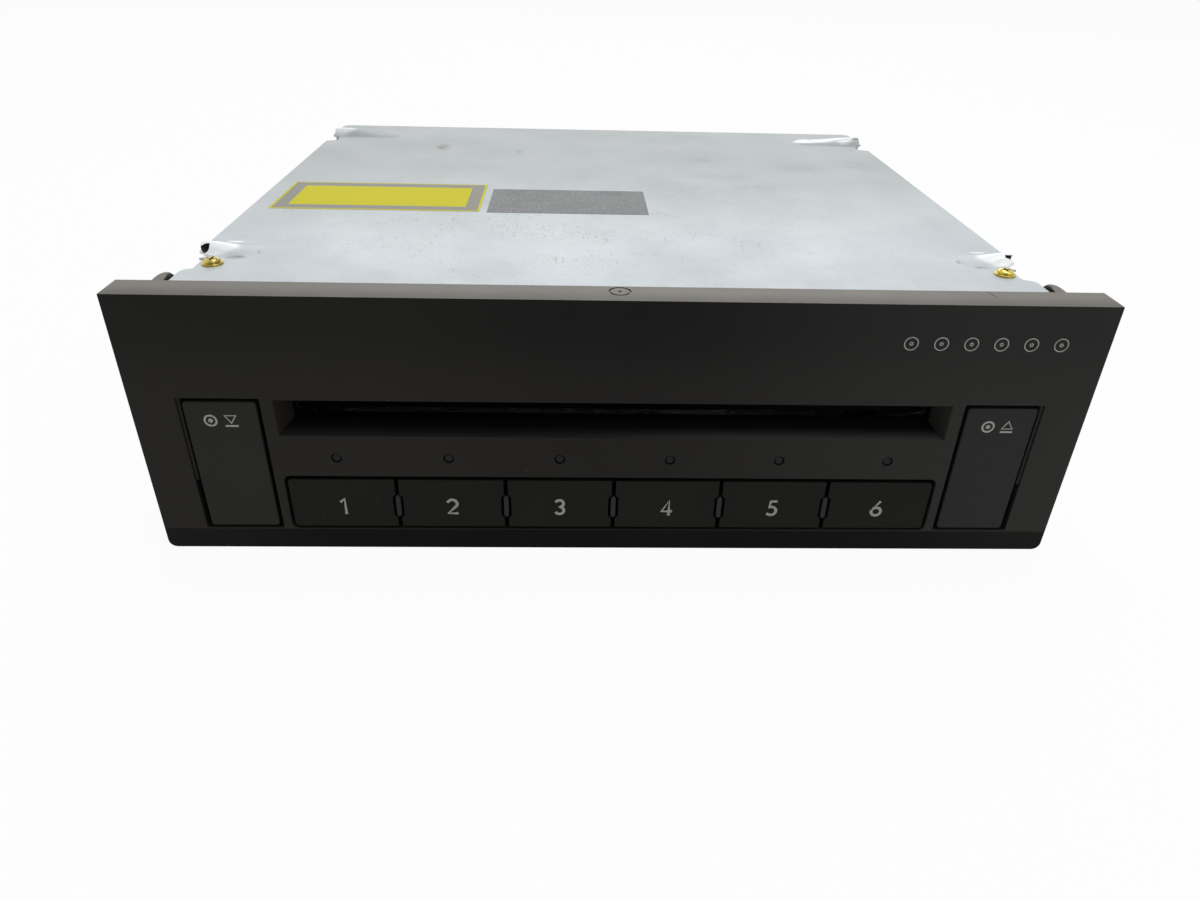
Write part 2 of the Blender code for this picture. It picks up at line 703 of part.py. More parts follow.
def key(name, centre, width, low, high, carrier, notches=()):
    """A push key: face block, retaining flange above and below, and a stem to the switch mat."""
    section = (
        (KEY_SETBACK, low),
        (KEY_FLANGE_FRONT, low),
        (KEY_FLANGE_FRONT, low - KEY_FLANGE_OVERHANG),
        (KEY_BODY_REAR, low - KEY_FLANGE_OVERHANG),
        (KEY_BODY_REAR, high + KEY_FLANGE_OVERHANG),
        (KEY_FLANGE_FRONT, high + KEY_FLANGE_OVERHANG),
        (KEY_FLANGE_FRONT, high),
        (KEY_SETBACK, high),
    )
    block = Shape().prism(section, "X", centre - width / 2, centre + width / 2)
    obj = piece(name, block, KEY_PLASTIC, carrier)
    stem_low = KEY_STEM_CENTRE_Z - KEY_STEM_HEIGHT / 2
    stem = Shape().box(
        (centre - KEY_STEM_WIDTH / 2, KEY_FLANGE_FRONT, stem_low),
        (centre + KEY_STEM_WIDTH / 2, KEY_STEM_END, stem_low + KEY_STEM_HEIGHT),
    )
    join(obj, stem, carrier)
    if notches:
        shape = Shape()
        for x in notches:
            shape.prism(island_outline(x, ISLAND_CLEARANCE), "Y", 0, KEY_STEM_END + OVERRUN)
        cut(obj, shape, carrier)


def island_outline(x, margin=0.0):
    """Six-sided outline of the rib that stands between two disc keys."""
    half = ISLAND_WIDTH / 2 + margin
    low, high = ISLAND_LOW - margin, ISLAND_HIGH + margin
    shoulders = (low + half, high - half)
    right = [(x + half, z) for z in shoulders]
    left = [(x - half, z) for z in reversed(shoulders)]
    return [(x, low), *right, (x, high), *left]


def keys(root):
    """Two large keys and the row of disc keys, each on its own slide."""
    for name, side in (("load_key", -1), ("eject_key", 1)):
        centre = side * LARGE_KEY_CENTRE
        slide = Carrier(f"{name}_slide", (centre, KEY_SETBACK, (LARGE_KEY_LOW + LARGE_KEY_HIGH) / 2), root)
        key(name, centre, LARGE_KEY_WIDTH, LARGE_KEY_LOW, LARGE_KEY_HIGH, slide)
    low, high = KEY_ROW_LOW + KEY_LOW_GAP, KEY_ROW_HIGH - KEY_TOP_GAP
    for number, centre in enumerate(key_centres(), 1):
        slide = Carrier(f"disc_key_{number}_slide", (centre, KEY_SETBACK, (low + high) / 2), root)
        notches = [x for x in split_centres() if abs(x - centre) < KEY_PITCH]
        key(f"disc_key_{number}", centre, KEY_PITCH - KEY_SPLIT, low, high, slide, notches)


def key_guide(carrier):
    """Frame behind the panel: it guides the key stems and carries the ribs between the keys."""
    half = GUIDE_WIDTH / 2
    plate = Shape().box((-half, GUIDE_FRONT, GUIDE_LOW), (half, GUIDE_REAR, GUIDE_HIGH))
    guide = piece("key_guide", plate, FRAME_PLASTIC, carrier)
    posts = Shape()
    for x in split_centres():
        posts.prism(island_outline(x), "Y", ISLAND_SETBACK, GUIDE_FRONT + GUIDE_THICKNESS / 2)
    for x in (-STANDOFF_X, STANDOFF_X):
        for z in standoff_levels():
            posts.rod((x, z), STANDOFF_RADIUS, "Y", GUIDE_REAR - GUIDE_THICKNESS / 2, BOARD_FRONT - GAP)
    join(guide, posts, carrier)
    windows = Shape()
    stem_low = KEY_STEM_CENTRE_Z - KEY_STEM_HEIGHT / 2 - STEM_CLEARANCE
    stem_high = stem_low + KEY_STEM_HEIGHT + 2 * STEM_CLEARANCE
    reach = KEY_STEM_WIDTH / 2 + STEM_CLEARANCE
    front, rear = GUIDE_FRONT - OVERRUN, GUIDE_REAR + OVERRUN
    for x in stem_centres():
        windows.box((x - reach, front, stem_low), (x + reach, rear, stem_high))
    for x in key_centres():
        windows.rod((x, INDICATOR_Z), INDICATOR_RADIUS + GAP, "Y", front, rear)
    cut(guide, windows, carrier)


def standoff_levels():
    return (BOARD_LOW + STANDOFF_RADIUS, BOARD_HIGH - STANDOFF_RADIUS - GAP)


def front_electronics(carrier):
    """Light guide comb, silicone switch mat and front circuit board."""
    pins = key_centres()
    half = pins[-1] + STANDOFF_RADIUS
    front = GUIDE_REAR + GAP
    bar_low = INDICATOR_Z - LIGHT_BAR_HEIGHT / 2
    rear, bar_high = front + LIGHT_BAR_THICKNESS, bar_low + LIGHT_BAR_HEIGHT
    bar = Shape().box((-half, front, bar_low), (half, rear, bar_high))
    comb = piece("light_guide", bar, LIGHT_PLASTIC, carrier)
    tips = Shape()
    for x in pins:
        tips.rod((x, INDICATOR_Z), INDICATOR_RADIUS, "Y", KEY_SETBACK, front + LIGHT_BAR_THICKNESS / 2, 12)
    join(comb, tips, carrier)
    half = MAT_WIDTH / 2
    sheet = Shape().box((-half, MAT_FRONT, MAT_LOW), (half, MAT_FRONT + MAT_THICKNESS, MAT_HIGH))
    mat = piece("switch_mat", sheet, SILICONE, carrier)
    domes = Shape()
    for x in stem_centres():
        root = MAT_FRONT + MAT_THICKNESS / 2
        profile = ((DOME_RADIUS, root), (DOME_RADIUS, MAT_FRONT), (DOME_RADIUS * 3 / 4, DOME_TIP))
        domes.turned(profile, (x, KEY_STEM_CENTRE_Z), "Y", SMALL_SIDES)
    join(mat, domes, carrier)
    half = BOARD_WIDTH / 2
    board = Shape().box((-half, BOARD_FRONT, BOARD_LOW), (half, BOARD_FRONT + BOARD_THICKNESS, BOARD_HIGH))
    piece("front_circuit_board", board, CIRCUIT_BOARD, carrier)


def slot_flap(root):
    """Thin flap that hangs behind the slot and swings inwards over an entering disc."""
    hinge = Carrier("flap_hinge", (0, FLAP_Y, FLAP_Z), root)
    pin = Shape().rod((FLAP_Y, FLAP_Z), FLAP_PIN_RADIUS, "X", -FLAP_PIN_HALF, FLAP_PIN_HALF, 12)
    flap = piece("slot_flap", pin, FRAME_PLASTIC, hinge)
    half = FLAP_THICKNESS / 2
    blade = Shape().box(
        (-FLAP_HALF_WIDTH, FLAP_Y - half, FLAP_Z - FLAP_LENGTH), (FLAP_HALF_WIDTH, FLAP_Y + half, FLAP_Z)
    )
    join(flap, blade, hinge)


def cover_outline():
    """Top view of the cover: ears at the front, two notches in each side, round rear corners."""
    half = HOUSING_WIDTH / 2
    ear, corner = EAR_RADIUS, REAR_CORNER_RADIUS
    right = [(EAR_HALF_WIDTH, HOUSING_FRONT)]
    right += arc((EAR_HALF_WIDTH - ear, EAR_END - ear), ear, 0, pi / 2, 5)
    right += [
        (NOTCH_HALF_WIDTH, EAR_END + NOTCH_SLOPE),
        (NOTCH_HALF_WIDTH, FRONT_NOTCH_END - NOTCH_SLOPE),
        (half, FRONT_NOTCH_END),
        (half, REAR_NOTCH_START),
        (NOTCH_HALF_WIDTH, REAR_NOTCH_START + NOTCH_SLOPE),
        (NOTCH_HALF_WIDTH, REAR_NOTCH_END),
        (half, REAR_NOTCH_END + NOTCH_SLOPE),
    ]
    right += arc((half - corner, HOUSING_REAR - corner), corner, 0, pi / 2, 5)
    return mirrored(right)


def bead(side, centre_y, half, inner, wall, edge, base):
    """Half-round bead that runs in from a side edge and ends in a rounded nose."""
    high = HOUSING_TOP + BEAD_HEIGHT - wall
    radius = half - wall
    nose = inner + wall
    steps = 4
    arch = arc((0, 0), 1, 0, pi, 8)
    stations = [(edge, 1.0)]
    for i in range(steps):
        turn = pi / 2 * i / steps
        stations.append((nose + radius * (1 - sin(turn)), cos(turn)))
    sections = []
    for x, share in stations:
        reach, rise = radius * share, (high - HOUSING_TOP) * share
        section = [(side * x, centre_y + reach * c, HOUSING_TOP + rise * s) for c, s in arch]
        section += [(side * x, centre_y - reach, base), (side * x, centre_y + reach, base)]
        sections.append(section)
    return sections


def top_cover(carrier):
    """Pressed sheet cover with short side skirts and four half-round beads."""
    half = HOUSING_WIDTH / 2
    sheet = Shape().prism(cover_outline(), "Z", COVER_BOTTOM, HOUSING_TOP)
    cover = piece("top_cover", sheet, GALVANISED, carrier)
    skirts = Shape()
    front, rear = FRONT_BEAD_Y + FRONT_BEAD_HALF + NOTCH_SLOPE, REAR_NOTCH_START - NOTCH_SLOPE
    for side in (-1, 1):
        near, far = sorted((side * half, side * (half - SHEET)))
        skirts.box((near, front, COVER_BOTTOM - COVER_SKIRT), (far, rear, COVER_BOTTOM + SHEET / 2))
    join(cover, skirts, carrier)
    beads, hollows = Shape(), Shape()
    mid = HOUSING_TOP - COVER_SHEET / 2
    front_spot = (FRONT_BEAD_Y, FRONT_BEAD_HALF, FRONT_BEAD_INNER)
    rear_spot = (REAR_BEAD_Y, REAR_BEAD_HALF, REAR_BEAD_INNER)
    through = (COVER_BOTTOM - OVERRUN, HOUSING_TOP + OVERRUN)
    for side in (-1, 1):
        for spot in (front_spot, rear_spot):
            beads.loft(bead(side, *spot, 0, half, mid))
            hollows.loft(bead(side, *spot, BEAD_SHEET, half + OVERRUN, COVER_BOTTOM - OVERRUN))
        hollows.rod((side * COVER_SCREW_X, COVER_SCREW_Y), SCREW_RADIUS + GAP, "Z", *through)
    join(cover, beads, carrier)
    cut(cover, hollows, carrier)


def chassis_tub(carrier):
    """Folded sheet tub: floor, side walls with inward flanges, rear wall and board bosses."""
    outer, inner = TUB_HALF_WIDTH, TUB_HALF_WIDTH - SHEET
    flange = outer - FLANGE_WIDTH
    bend = SHEET * 2
    section = arc((-outer + bend, HOUSING_BOTTOM + bend), bend, pi, 1.5 * pi, 4)
    section += arc((outer - bend, HOUSING_BOTTOM + bend), bend, 1.5 * pi, 2 * pi, 4)
    section += [(outer, TUB_TOP), (flange, TUB_TOP), (flange, TUB_TOP - SHEET), (inner, TUB_TOP - SHEET)]
    section += arc((outer - bend, HOUSING_BOTTOM + bend), bend - SHEET, 2 * pi, 1.5 * pi, 4)
    section += arc((-outer + bend, HOUSING_BOTTOM + bend), bend - SHEET, 1.5 * pi, pi, 4)
    section += [(-inner, TUB_TOP - SHEET), (-flange, TUB_TOP - SHEET)]
    section += [(-flange, TUB_TOP), (-outer, TUB_TOP)]
    folded = Shape().prism(section, "Y", HOUSING_FRONT, HOUSING_REAR)
    tub = piece("chassis_tub", folded, GALVANISED, carrier)
    middle = SHEET / 2
    additions = Shape().box(
        (-inner - middle, HOUSING_REAR - SHEET, FLOOR_TOP - middle),
        (inner + middle, HOUSING_REAR, TUB_TOP - middle),
    )
    for x in (-BOARD_BOSS_X, BOARD_BOSS_X):
        spot = (x, (MAIN_BOARD_FRONT + MAIN_BOARD_REAR) / 2)
        additions.rod(spot, BOARD_BOSS_RADIUS, "Z", FLOOR_TOP - middle, MAIN_BOARD_Z - GAP)
    join(tub, additions, carrier)
    openings = Shape()
    low = MAIN_BOARD_Z + BOARD_THICKNESS
    reach = CONNECTOR_WIDTH / 2 + GAP
    openings.box(
        (CONNECTOR_X - reach, HOUSING_REAR - SHEET - OVERRUN, low),
        (CONNECTOR_X + reach, HOUSING_REAR + OVERRUN, low + CONNECTOR_HEIGHT + GAP * 2),
    )
    for side in (-1, 1):
        levels = (TUB_TOP - SHEET - OVERRUN, TUB_TOP + OVERRUN)
        openings.rod((side * COVER_SCREW_X, COVER_SCREW_Y), SCREW_RADIUS + GAP, "Z", *levels)
        for y in SIDE_HOLE_PLACES:
            near, far = sorted((side * (inner - OVERRUN), side * (outer + OVERRUN)))
            openings.rod((y, SIDE_HOLE_Z), SIDE_HOLE_RADIUS, "X", near, far)
    cut(tub, openings, carrier)


def screw(name, place, carrier):
    """Pan-head screw with a cross recess. Its axis is upright and its head stands on the sheet."""
    x, y, seat = place
    top = seat + SCREW_HEAD_HEIGHT
    profile = (
        (SCREW_RADIUS * 3 / 4, seat - SCREW_LENGTH),
        (SCREW_RADIUS, seat - SCREW_LENGTH * 5 / 6),
        (SCREW_RADIUS, seat),
        (SCREW_HEAD_RADIUS, seat),
        (SCREW_HEAD_RADIUS, seat + SCREW_HEAD_HEIGHT / 3),
        (SCREW_HEAD_RADIUS * 4 / 5, seat + SCREW_HEAD_HEIGHT * 4 / 5),
        (SCREW_HEAD_RADIUS * 2 / 5, top),
    )
    obj = piece(name, Shape().turned(profile, (x, y), "Z"), YELLOW_ZINC, carrier)
    long, short = SCREW_HEAD_RADIUS * 3 / 5, SCREW_HEAD_RADIUS / 6
    cross = [
        (long, short), (short, short), (short, long), (-short, long), (-short, short), (-long, short),
        (-long, -short), (-short, -short), (-short, -long), (short, -long), (short, -short), (long, -short),
    ]
    recess = Shape().prism([(x + a, y + b) for a, b in cross], "Z", top - SCREW_RECESS, top + OVERRUN)
    cut(obj, recess, carrier)


def rear_electronics(carrier):
    """Main circuit board on its bosses, and the pin connector in the rear wall."""
    half = MAIN_BOARD_WIDTH / 2
    top = MAIN_BOARD_Z + BOARD_THICKNESS
    board = Shape().box((-half, MAIN_BOARD_FRONT, MAIN_BOARD_Z), (half, MAIN_BOARD_REAR, top))
    piece("main_circuit_board", board, CIRCUIT_BOARD, carrier)
    low, reach = top + GAP, CONNECTOR_WIDTH / 2
    left, right = CONNECTOR_X - reach, CONNECTOR_X + reach
    front = HOUSING_REAR - CONNECTOR_DEPTH
    shell = Shape().box((left, front, low), (right, HOUSING_REAR, low + CONNECTOR_HEIGHT))
    socket = piece("rear_connector", shell, CONNECTOR_PLASTIC, carrier)
    wall = CONNECTOR_WALL
    hollow = Shape().box(
        (left + wall, front + wall, low + wall),
        (right - wall, HOUSING_REAR + OVERRUN, low + CONNECTOR_HEIGHT - wall),
    )
    cut(socket, hollow, carrier)
    pins = Shape()
    step_x = (CONNECTOR_WIDTH - 2 * wall) / CONNECTOR_PINS
    step_z = (CONNECTOR_HEIGHT - 2 * wall) / CONNECTOR_PIN_ROWS
    for column in range(CONNECTOR_PINS):
        for row in range(CONNECTOR_PIN_ROWS):
            x = CONNECTOR_X - reach + wall + (column + 0.5) * step_x - PIN_SIZE / 2
            z = low + wall + (row + 0.5) * step_z - PIN_SIZE / 2
            pins.box((x, front + wall / 2, z), (x + PIN_SIZE, HOUSING_REAR - wall * 3, z + PIN_SIZE))
    join(socket, pins, carrier)


def mechanism_frame(carrier):
    """Steel plate with a round window, two bent-up roller brackets and the lead-screw seats."""
    half = FRAME_HALF_WIDTH
    plate = Shape().box((-half, FRAME_FRONT, FRAME_FLOOR_Z), (half, FRAME_REAR, FRAME_TOP))
    frame = piece("mechanism_frame", plate, GALVANISED, carrier)
    brackets = Shape()
    for side in (-1, 1):
        near, far = sorted((side * BRACKET_X, side * (BRACKET_X + BRACKET_THICKNESS)))
        low = FRAME_FLOOR_Z + FRAME_SHEET / 2
        brackets.box((near, BRACKET_FRONT, low), (far, BRACKET_REAR, BRACKET_TOP))
    join(frame, brackets, carrier)
    openings = Shape()
    levels = (FRAME_FLOOR_Z - OVERRUN, FRAME_TOP + OVERRUN)
    openings.rod((0, DISC_CENTRE_Y), FRAME_WINDOW_RADIUS, "Z", *levels, 32)
    for spot in LEADS.values():
        openings.rod(spot, LEAD_PIN_RADIUS + RUNNING_GAP, "Z", *levels)
    openings.rod(LEAD_MOTOR, MOTOR_SHAFT_RADIUS + GAP, "Z", *levels)
    ends = (-BRACKET_X - BRACKET_THICKNESS - OVERRUN, BRACKET_X + BRACKET_THICKNESS + OVERRUN)
    openings.rod((ROLLER_Y, ROLLER_Z), ROLLER_SHAFT_RADIUS + RUNNING_GAP, "X", *ends)
    openings.rod((ROLLER_Y, FEED_MOTOR_Z), MOTOR_SHAFT_RADIUS + GAP, "X", BRACKET_X - OVERRUN, ends[1])
    cut(frame, openings, carrier)


def dampers(carrier):
    """Waisted rubber mounts between the tub's floor and the mechanism frame."""
    low, high = FLOOR_TOP + GAP, FRAME_FLOOR_Z - GAP
    rise = high - low
    profile = (
        (DAMPER_RADIUS, low),
        (DAMPER_RADIUS, low + rise / 4),
        (DAMPER_WAIST, low + rise / 2),
        (DAMPER_RADIUS, high - rise / 4),
        (DAMPER_RADIUS, high),
    )
    for side, end in (("left", -1), ("right", 1)):
        for row, inset, y in (
            ("front", DAMPER_FRONT_INSETS[0], FRAME_FRONT + DAMPER_FRONT_INSETS[1]),
            ("rear", DAMPER_REAR_INSETS[0], FRAME_REAR - DAMPER_REAR_INSETS[1]),
        ):
            spot = (end * (FRAME_HALF_WIDTH - inset), y)
            name = f"damper_{row}_{side}"
            piece(name, Shape().turned(profile, spot, "Z", SMALL_SIDES), BLACK_RUBBER, carrier)


def elevator(root):
    """Three lead screws with pulleys, the belt that links them, their gear and their motor."""
    shafts = {}
    for name, (x, y) in LEADS.items():
        shafts[name] = Carrier(f"lead_screw_{name}_turn", (x, y, FRAME_TOP), root)
        rim = PULLEY_RADIUS + PULLEY_RIM
        profile = (
            (LEAD_PIN_RADIUS, LEAD_PIN_LOW),
            (LEAD_PIN_RADIUS, PULLEY_LOW),
            (rim, PULLEY_LOW),
            (rim, PULLEY_LOW + PULLEY_RIM_HEIGHT),
            (PULLEY_RADIUS, PULLEY_LOW + PULLEY_RIM_HEIGHT),
            (PULLEY_RADIUS, PULLEY_HIGH - PULLEY_RIM_HEIGHT),
            (rim, PULLEY_HIGH - PULLEY_RIM_HEIGHT),
            (rim, PULLEY_HIGH),
            (LEAD_RADIUS, PULLEY_HIGH),
            (LEAD_RADIUS, LEAD_TOP),
        )
        piece(f"lead_screw_{name}", Shape().turned(profile, (x, y), "Z", SMALL_SIDES), STEEL, shafts[name])
    inner = PULLEY_RADIUS + GAP
    belt = Shape().prism(belt_outline(inner + BELT_THICKNESS), "Z", BELT_LOW, BELT_HIGH)
    band = piece("elevator_belt", belt, BLACK_RUBBER, root)
    cut(band, Shape().prism(belt_outline(inner), "Z", BELT_LOW - OVERRUN, BELT_HIGH + OVERRUN), root)
    low = LEAD_PIN_LOW + GAP
    centre = LEADS["front_left"]
    outline = gear_outline(centre, LEAD_GEAR_TEETH, LEAD_MOTOR_DIRECTION)
    shape = Shape().prism(outline, "Z", low, low + LEAD_GEAR_THICKNESS)
    gear = piece("elevator_gear", shape, NATURAL_PLASTIC, shafts["front_left"])
    bore = Shape().rod(centre, LEAD_PIN_RADIUS + RUNNING_GAP, "Z", 0, low + LEAD_GEAR_THICKNESS + OVERRUN)
    cut(gear, bore, shafts["front_left"])
    turn = Carrier("elevator_pinion_turn", (*LEAD_MOTOR, low), root)
    span = (low, low + LEAD_GEAR_THICKNESS)
    pinion_of("elevator_pinion", LEAD_MOTOR, "Z", span, LEAD_MOTOR_DIRECTION + pi, turn)
    profile = (
        (MOTOR_SHAFT_RADIUS, LEAD_PIN_LOW),
        (MOTOR_SHAFT_RADIUS, LEAD_MOTOR_BOTTOM),
        (MOTOR_RADIUS, LEAD_MOTOR_BOTTOM),
        (MOTOR_RADIUS, LEAD_MOTOR_BOTTOM + MOTOR_LENGTH),
    )
    piece("elevator_motor", Shape().turned(profile, LEAD_MOTOR, "Z"), MOTOR_CAN, root)


def pinion_of(name, centre, axis, span, towards, carrier):
    """Small motor pinion. A tooth gap points towards the gear that it drives."""
    outline = gear_outline(centre, PINION_TEETH, towards + pi / PINION_TEETH)
    pinion = piece(name, Shape().prism(outline, axis, *span), NATURAL_PLASTIC, carrier)
    bore = Shape().rod(centre, MOTOR_SHAFT_RADIUS + RUNNING_GAP, axis, span[0] - OVERRUN, span[1] + OVERRUN)
    cut(pinion, bore, carrier)


def belt_outline(radius):
    """Outline of a band pulled round the three pulleys, as straight runs and arcs."""
    centres = [Vector(LEADS[name]) for name in ("front_left", "front_right", "rear")]
    points = []
    for i, centre in enumerate(centres):
        arriving, leaving = centre - centres[i - 1], centres[(i + 1) % len(centres)] - centre
        start = atan2(arriving.y, arriving.x) - pi / 2
        sweep = arriving.angle_signed(leaving) * -1
        points += arc(centre, radius, start, start + sweep, 8)
    return points


def tray_outline():
    """Open ring under the disc's rim, joined to a bar that reaches both front lead screws."""
    centre = (0, DISC_CENTRE_Y)
    outer = arc(centre, TRAY_OUTER, TRAY_START, TRAY_END, 20)
    return outer + arc(centre, TRAY_INNER, TRAY_END, TRAY_START, 20)


def rear_ear_root():
    """Point on the ring's outer edge that faces the rear lead screw."""
    centre = Vector((0, DISC_CENTRE_Y))
    return centre + (Vector(LEADS["rear"]) - centre).normalized() * TRAY_OUTER


def disc_trays(root):
    """Six thin disc trays on the lead screws. Tray 1 is the highest."""
    middle = (TRAYS - 1) / 2
    for number in range(TRAYS):
        low = TRAY_STACK_Z + (middle - number) * TRAY_PITCH
        lift = Carrier(f"disc_tray_{number + 1}_lift", (0, DISC_CENTRE_Y, low), root)
        span = (low, low + TRAY_THICKNESS)
        ring = Shape().prism(tray_outline(), "Z", *span)
        tray = piece(f"disc_tray_{number + 1}", ring, NATURAL_PLASTIC, lift)
        front, rear = FRONT_LEAD_Y - TRAY_BAR_DEPTH / 2, FRONT_LEAD_Y + TRAY_BAR_DEPTH / 2
        join(tray, Shape().box((-FRONT_LEAD_X, front, span[0]), (FRONT_LEAD_X, rear, span[1])), lift)
        ears = Shape()
        for spot in LEADS.values():
            ears.rod(spot, TRAY_EAR_RADIUS, "Z", *span)
        join(tray, ears, lift)
        join(tray, Shape().rod(rear_ear_root(), TRAY_EAR_RADIUS, "Z", *span), lift)
        bores = Shape()
        for spot in LEADS.values():
            bores.rod(spot, LEAD_RADIUS + TRAY_SCREW_CLEARANCE, "Z", low - OVERRUN, span[1] + OVERRUN)
        cut(tray, bores, lift)


def feed_roller(root):
    """Rubber feed roller behind the slot with its gear and motor, and the guide plate above it."""
    spin = Carrier("feed_roller_turn", (0, ROLLER_Y, ROLLER_Z), root)
    centre = (ROLLER_Y, ROLLER_Z)
    far = ROLLER_GEAR_X + GEAR_THICKNESS + GAP
    shaft = Shape().rod(centre, ROLLER_SHAFT_RADIUS, "X", -ROLLER_SHAFT_HALF, far)
    piece("feed_roller_shaft", shaft, STEEL, spin)
    for name, side in (("left", -1), ("right", 1)):
        near, end = side * ROLLER_CENTRE_GAP / 2, side * ROLLER_HALF_LENGTH
        profile = ((ROLLER_WAIST_RADIUS, near), (ROLLER_END_RADIUS, end))
        sleeve = Shape().turned(profile, centre, "X")
        rubber = piece(f"feed_roller_rubber_{name}", sleeve, BLACK_RUBBER, spin)
        low, high = sorted((near - side * OVERRUN, end + side * OVERRUN))
        cut(rubber, Shape().rod(centre, ROLLER_SHAFT_RADIUS + RUNNING_GAP, "X", low, high), spin)
    span = (ROLLER_GEAR_X, ROLLER_GEAR_X + GEAR_THICKNESS)
    outline = gear_outline(centre, ROLLER_GEAR_TEETH, -pi / 2)
    gear = piece("feed_roller_gear", Shape().prism(outline, "X", *span), NATURAL_PLASTIC, spin)
    bore = Shape().rod(centre, ROLLER_SHAFT_RADIUS + RUNNING_GAP, "X", span[0] - OVERRUN, span[1] + OVERRUN)
    cut(gear, bore, spin)
    low_centre = (ROLLER_Y, FEED_MOTOR_Z)
    turn = Carrier("feed_pinion_turn", (ROLLER_GEAR_X, *low_centre), root)
    pinion_of("feed_pinion", low_centre, "X", span, pi / 2, turn)
    body_end = BRACKET_X - GAP
    profile = (
        (MOTOR_RADIUS, body_end - MOTOR_LENGTH),
        (MOTOR_RADIUS, body_end),
        (MOTOR_SHAFT_RADIUS, body_end),
        (MOTOR_SHAFT_RADIUS, far),
    )
    piece("feed_motor", Shape().turned(profile, low_centre, "X"), MOTOR_CAN, root)
    half = BRACKET_X - GAP
    top = GUIDE_PLATE_Z + GUIDE_PLATE_THICKNESS
    plate = Shape().box((-half, GUIDE_PLATE_FRONT, GUIDE_PLATE_Z), (half, GUIDE_PLATE_REAR, top))
    piece("disc_guide_plate", plate, NATURAL_PLASTIC, root)


def on_arm(x, distance):
    """Top-view point on the parked arm, measured from the turntable towards the pivot."""
    return (ARM_PIVOT_X + x, ARM_TIP_Y + distance)


def stadium(radius, start, end):
    """Outline along the arm's centre line, with round ends."""
    return arc(on_arm(0, end), radius, 0, pi, 12) + arc(on_arm(0, start), radius, pi, 2 * pi, 12)


def pivot_post(carrier):
    """Stepped post on the frame that carries the swing arm."""
    profile = (
        (POST_FLANGE_RADIUS, FRAME_TOP + GAP),
        (POST_FLANGE_RADIUS, FRAME_TOP + GAP + POST_FLANGE_HEIGHT),
        (POST_SHOULDER_RADIUS, FRAME_TOP + GAP + POST_FLANGE_HEIGHT),
        (POST_SHOULDER_RADIUS, ARM_Z - GAP),
        (ARM_PIVOT_RADIUS, ARM_Z - GAP),
        (ARM_PIVOT_RADIUS, ARM_POST_TOP),
    )
    piece("arm_pivot_post", Shape().turned(profile, (ARM_PIVOT_X, ARM_PIVOT_Y), "Z"), STEEL, carrier)


def rod_cheeks():
    """Distances along the arm at which the two cheeks of the rods begin."""
    return (ROD_START + CHEEK_INSET, ROD_END - CHEEK_INSET - CHEEK_THICKNESS)


def swing_arm(pivot):
    """Arm plate with its pivot bush, the cheeks of the rods and the uprights of the clamp."""
    plate = Shape().prism(stadium(ARM_TIP_RADIUS, 0, ARM_REACH), "Z", ARM_Z, ARM_TOP)
    arm = piece("swing_arm", plate, GALVANISED, pivot)
    middle = ARM_Z + ARM_SHEET / 2
    centre = (ARM_PIVOT_X, ARM_PIVOT_Y)
    raised = Shape().rod(centre, ARM_BUSH_RADIUS, "Z", middle, ARM_Z + ARM_BUSH_HEIGHT, ROUND_SIDES)
    half, top = ROD_OFFSET + CHEEK_MARGIN, ROD_Z + CHEEK_RISE
    for start in rod_cheeks():
        raised.box((*on_arm(-half, start), middle), (*on_arm(half, start + CHEEK_THICKNESS), top))
    for side in (-1, 1):
        near, far = sorted((side * UPRIGHT_INNER, side * UPRIGHT_HALF_WIDTH))
        low = (*on_arm(near, ARM_REACH - UPRIGHT_FRONT), middle)
        raised.box(low, (*on_arm(far, ARM_REACH - UPRIGHT_REAR), HINGE_Z + KNUCKLE_RADIUS))
    join(arm, raised, pivot)
    below = ARM_Z - OVERRUN
    bore = ARM_PIVOT_RADIUS + RUNNING_GAP
    openings = Shape().rod(centre, bore, "Z", below, ARM_POST_TOP, ROUND_SIDES)
    high = (*on_arm(SLED_WINDOW_HALF, SLED_WINDOW_END), ARM_TOP + OVERRUN)
    openings.box((*on_arm(-SLED_WINDOW_HALF, SLED_WINDOW_START), below), high)
    for side in (-1, 1):
        for start in rod_cheeks():
            near = ARM_TIP_Y + start - CHEEK_INSET / 2
            far = near + CHEEK_THICKNESS + CHEEK_INSET
            spot = (ARM_PIVOT_X + side * ROD_OFFSET, ROD_Z)
            openings.rod(spot, ROD_RADIUS + RUNNING_GAP, "Y", near, far)
    hinge = (ARM_PIVOT_Y - HINGE_BACK, HINGE_Z)
    ends = (ARM_PIVOT_X - HINGE_PIN_HALF, ARM_PIVOT_X + HINGE_PIN_HALF)
    openings.rod(hinge, HINGE_PIN_RADIUS + RUNNING_GAP, "X", *ends)
    cut(arm, openings, pivot)
    piece("clamp_hinge_pin", Shape().rod(hinge, HINGE_PIN_RADIUS, "X", *ends), STEEL, pivot)


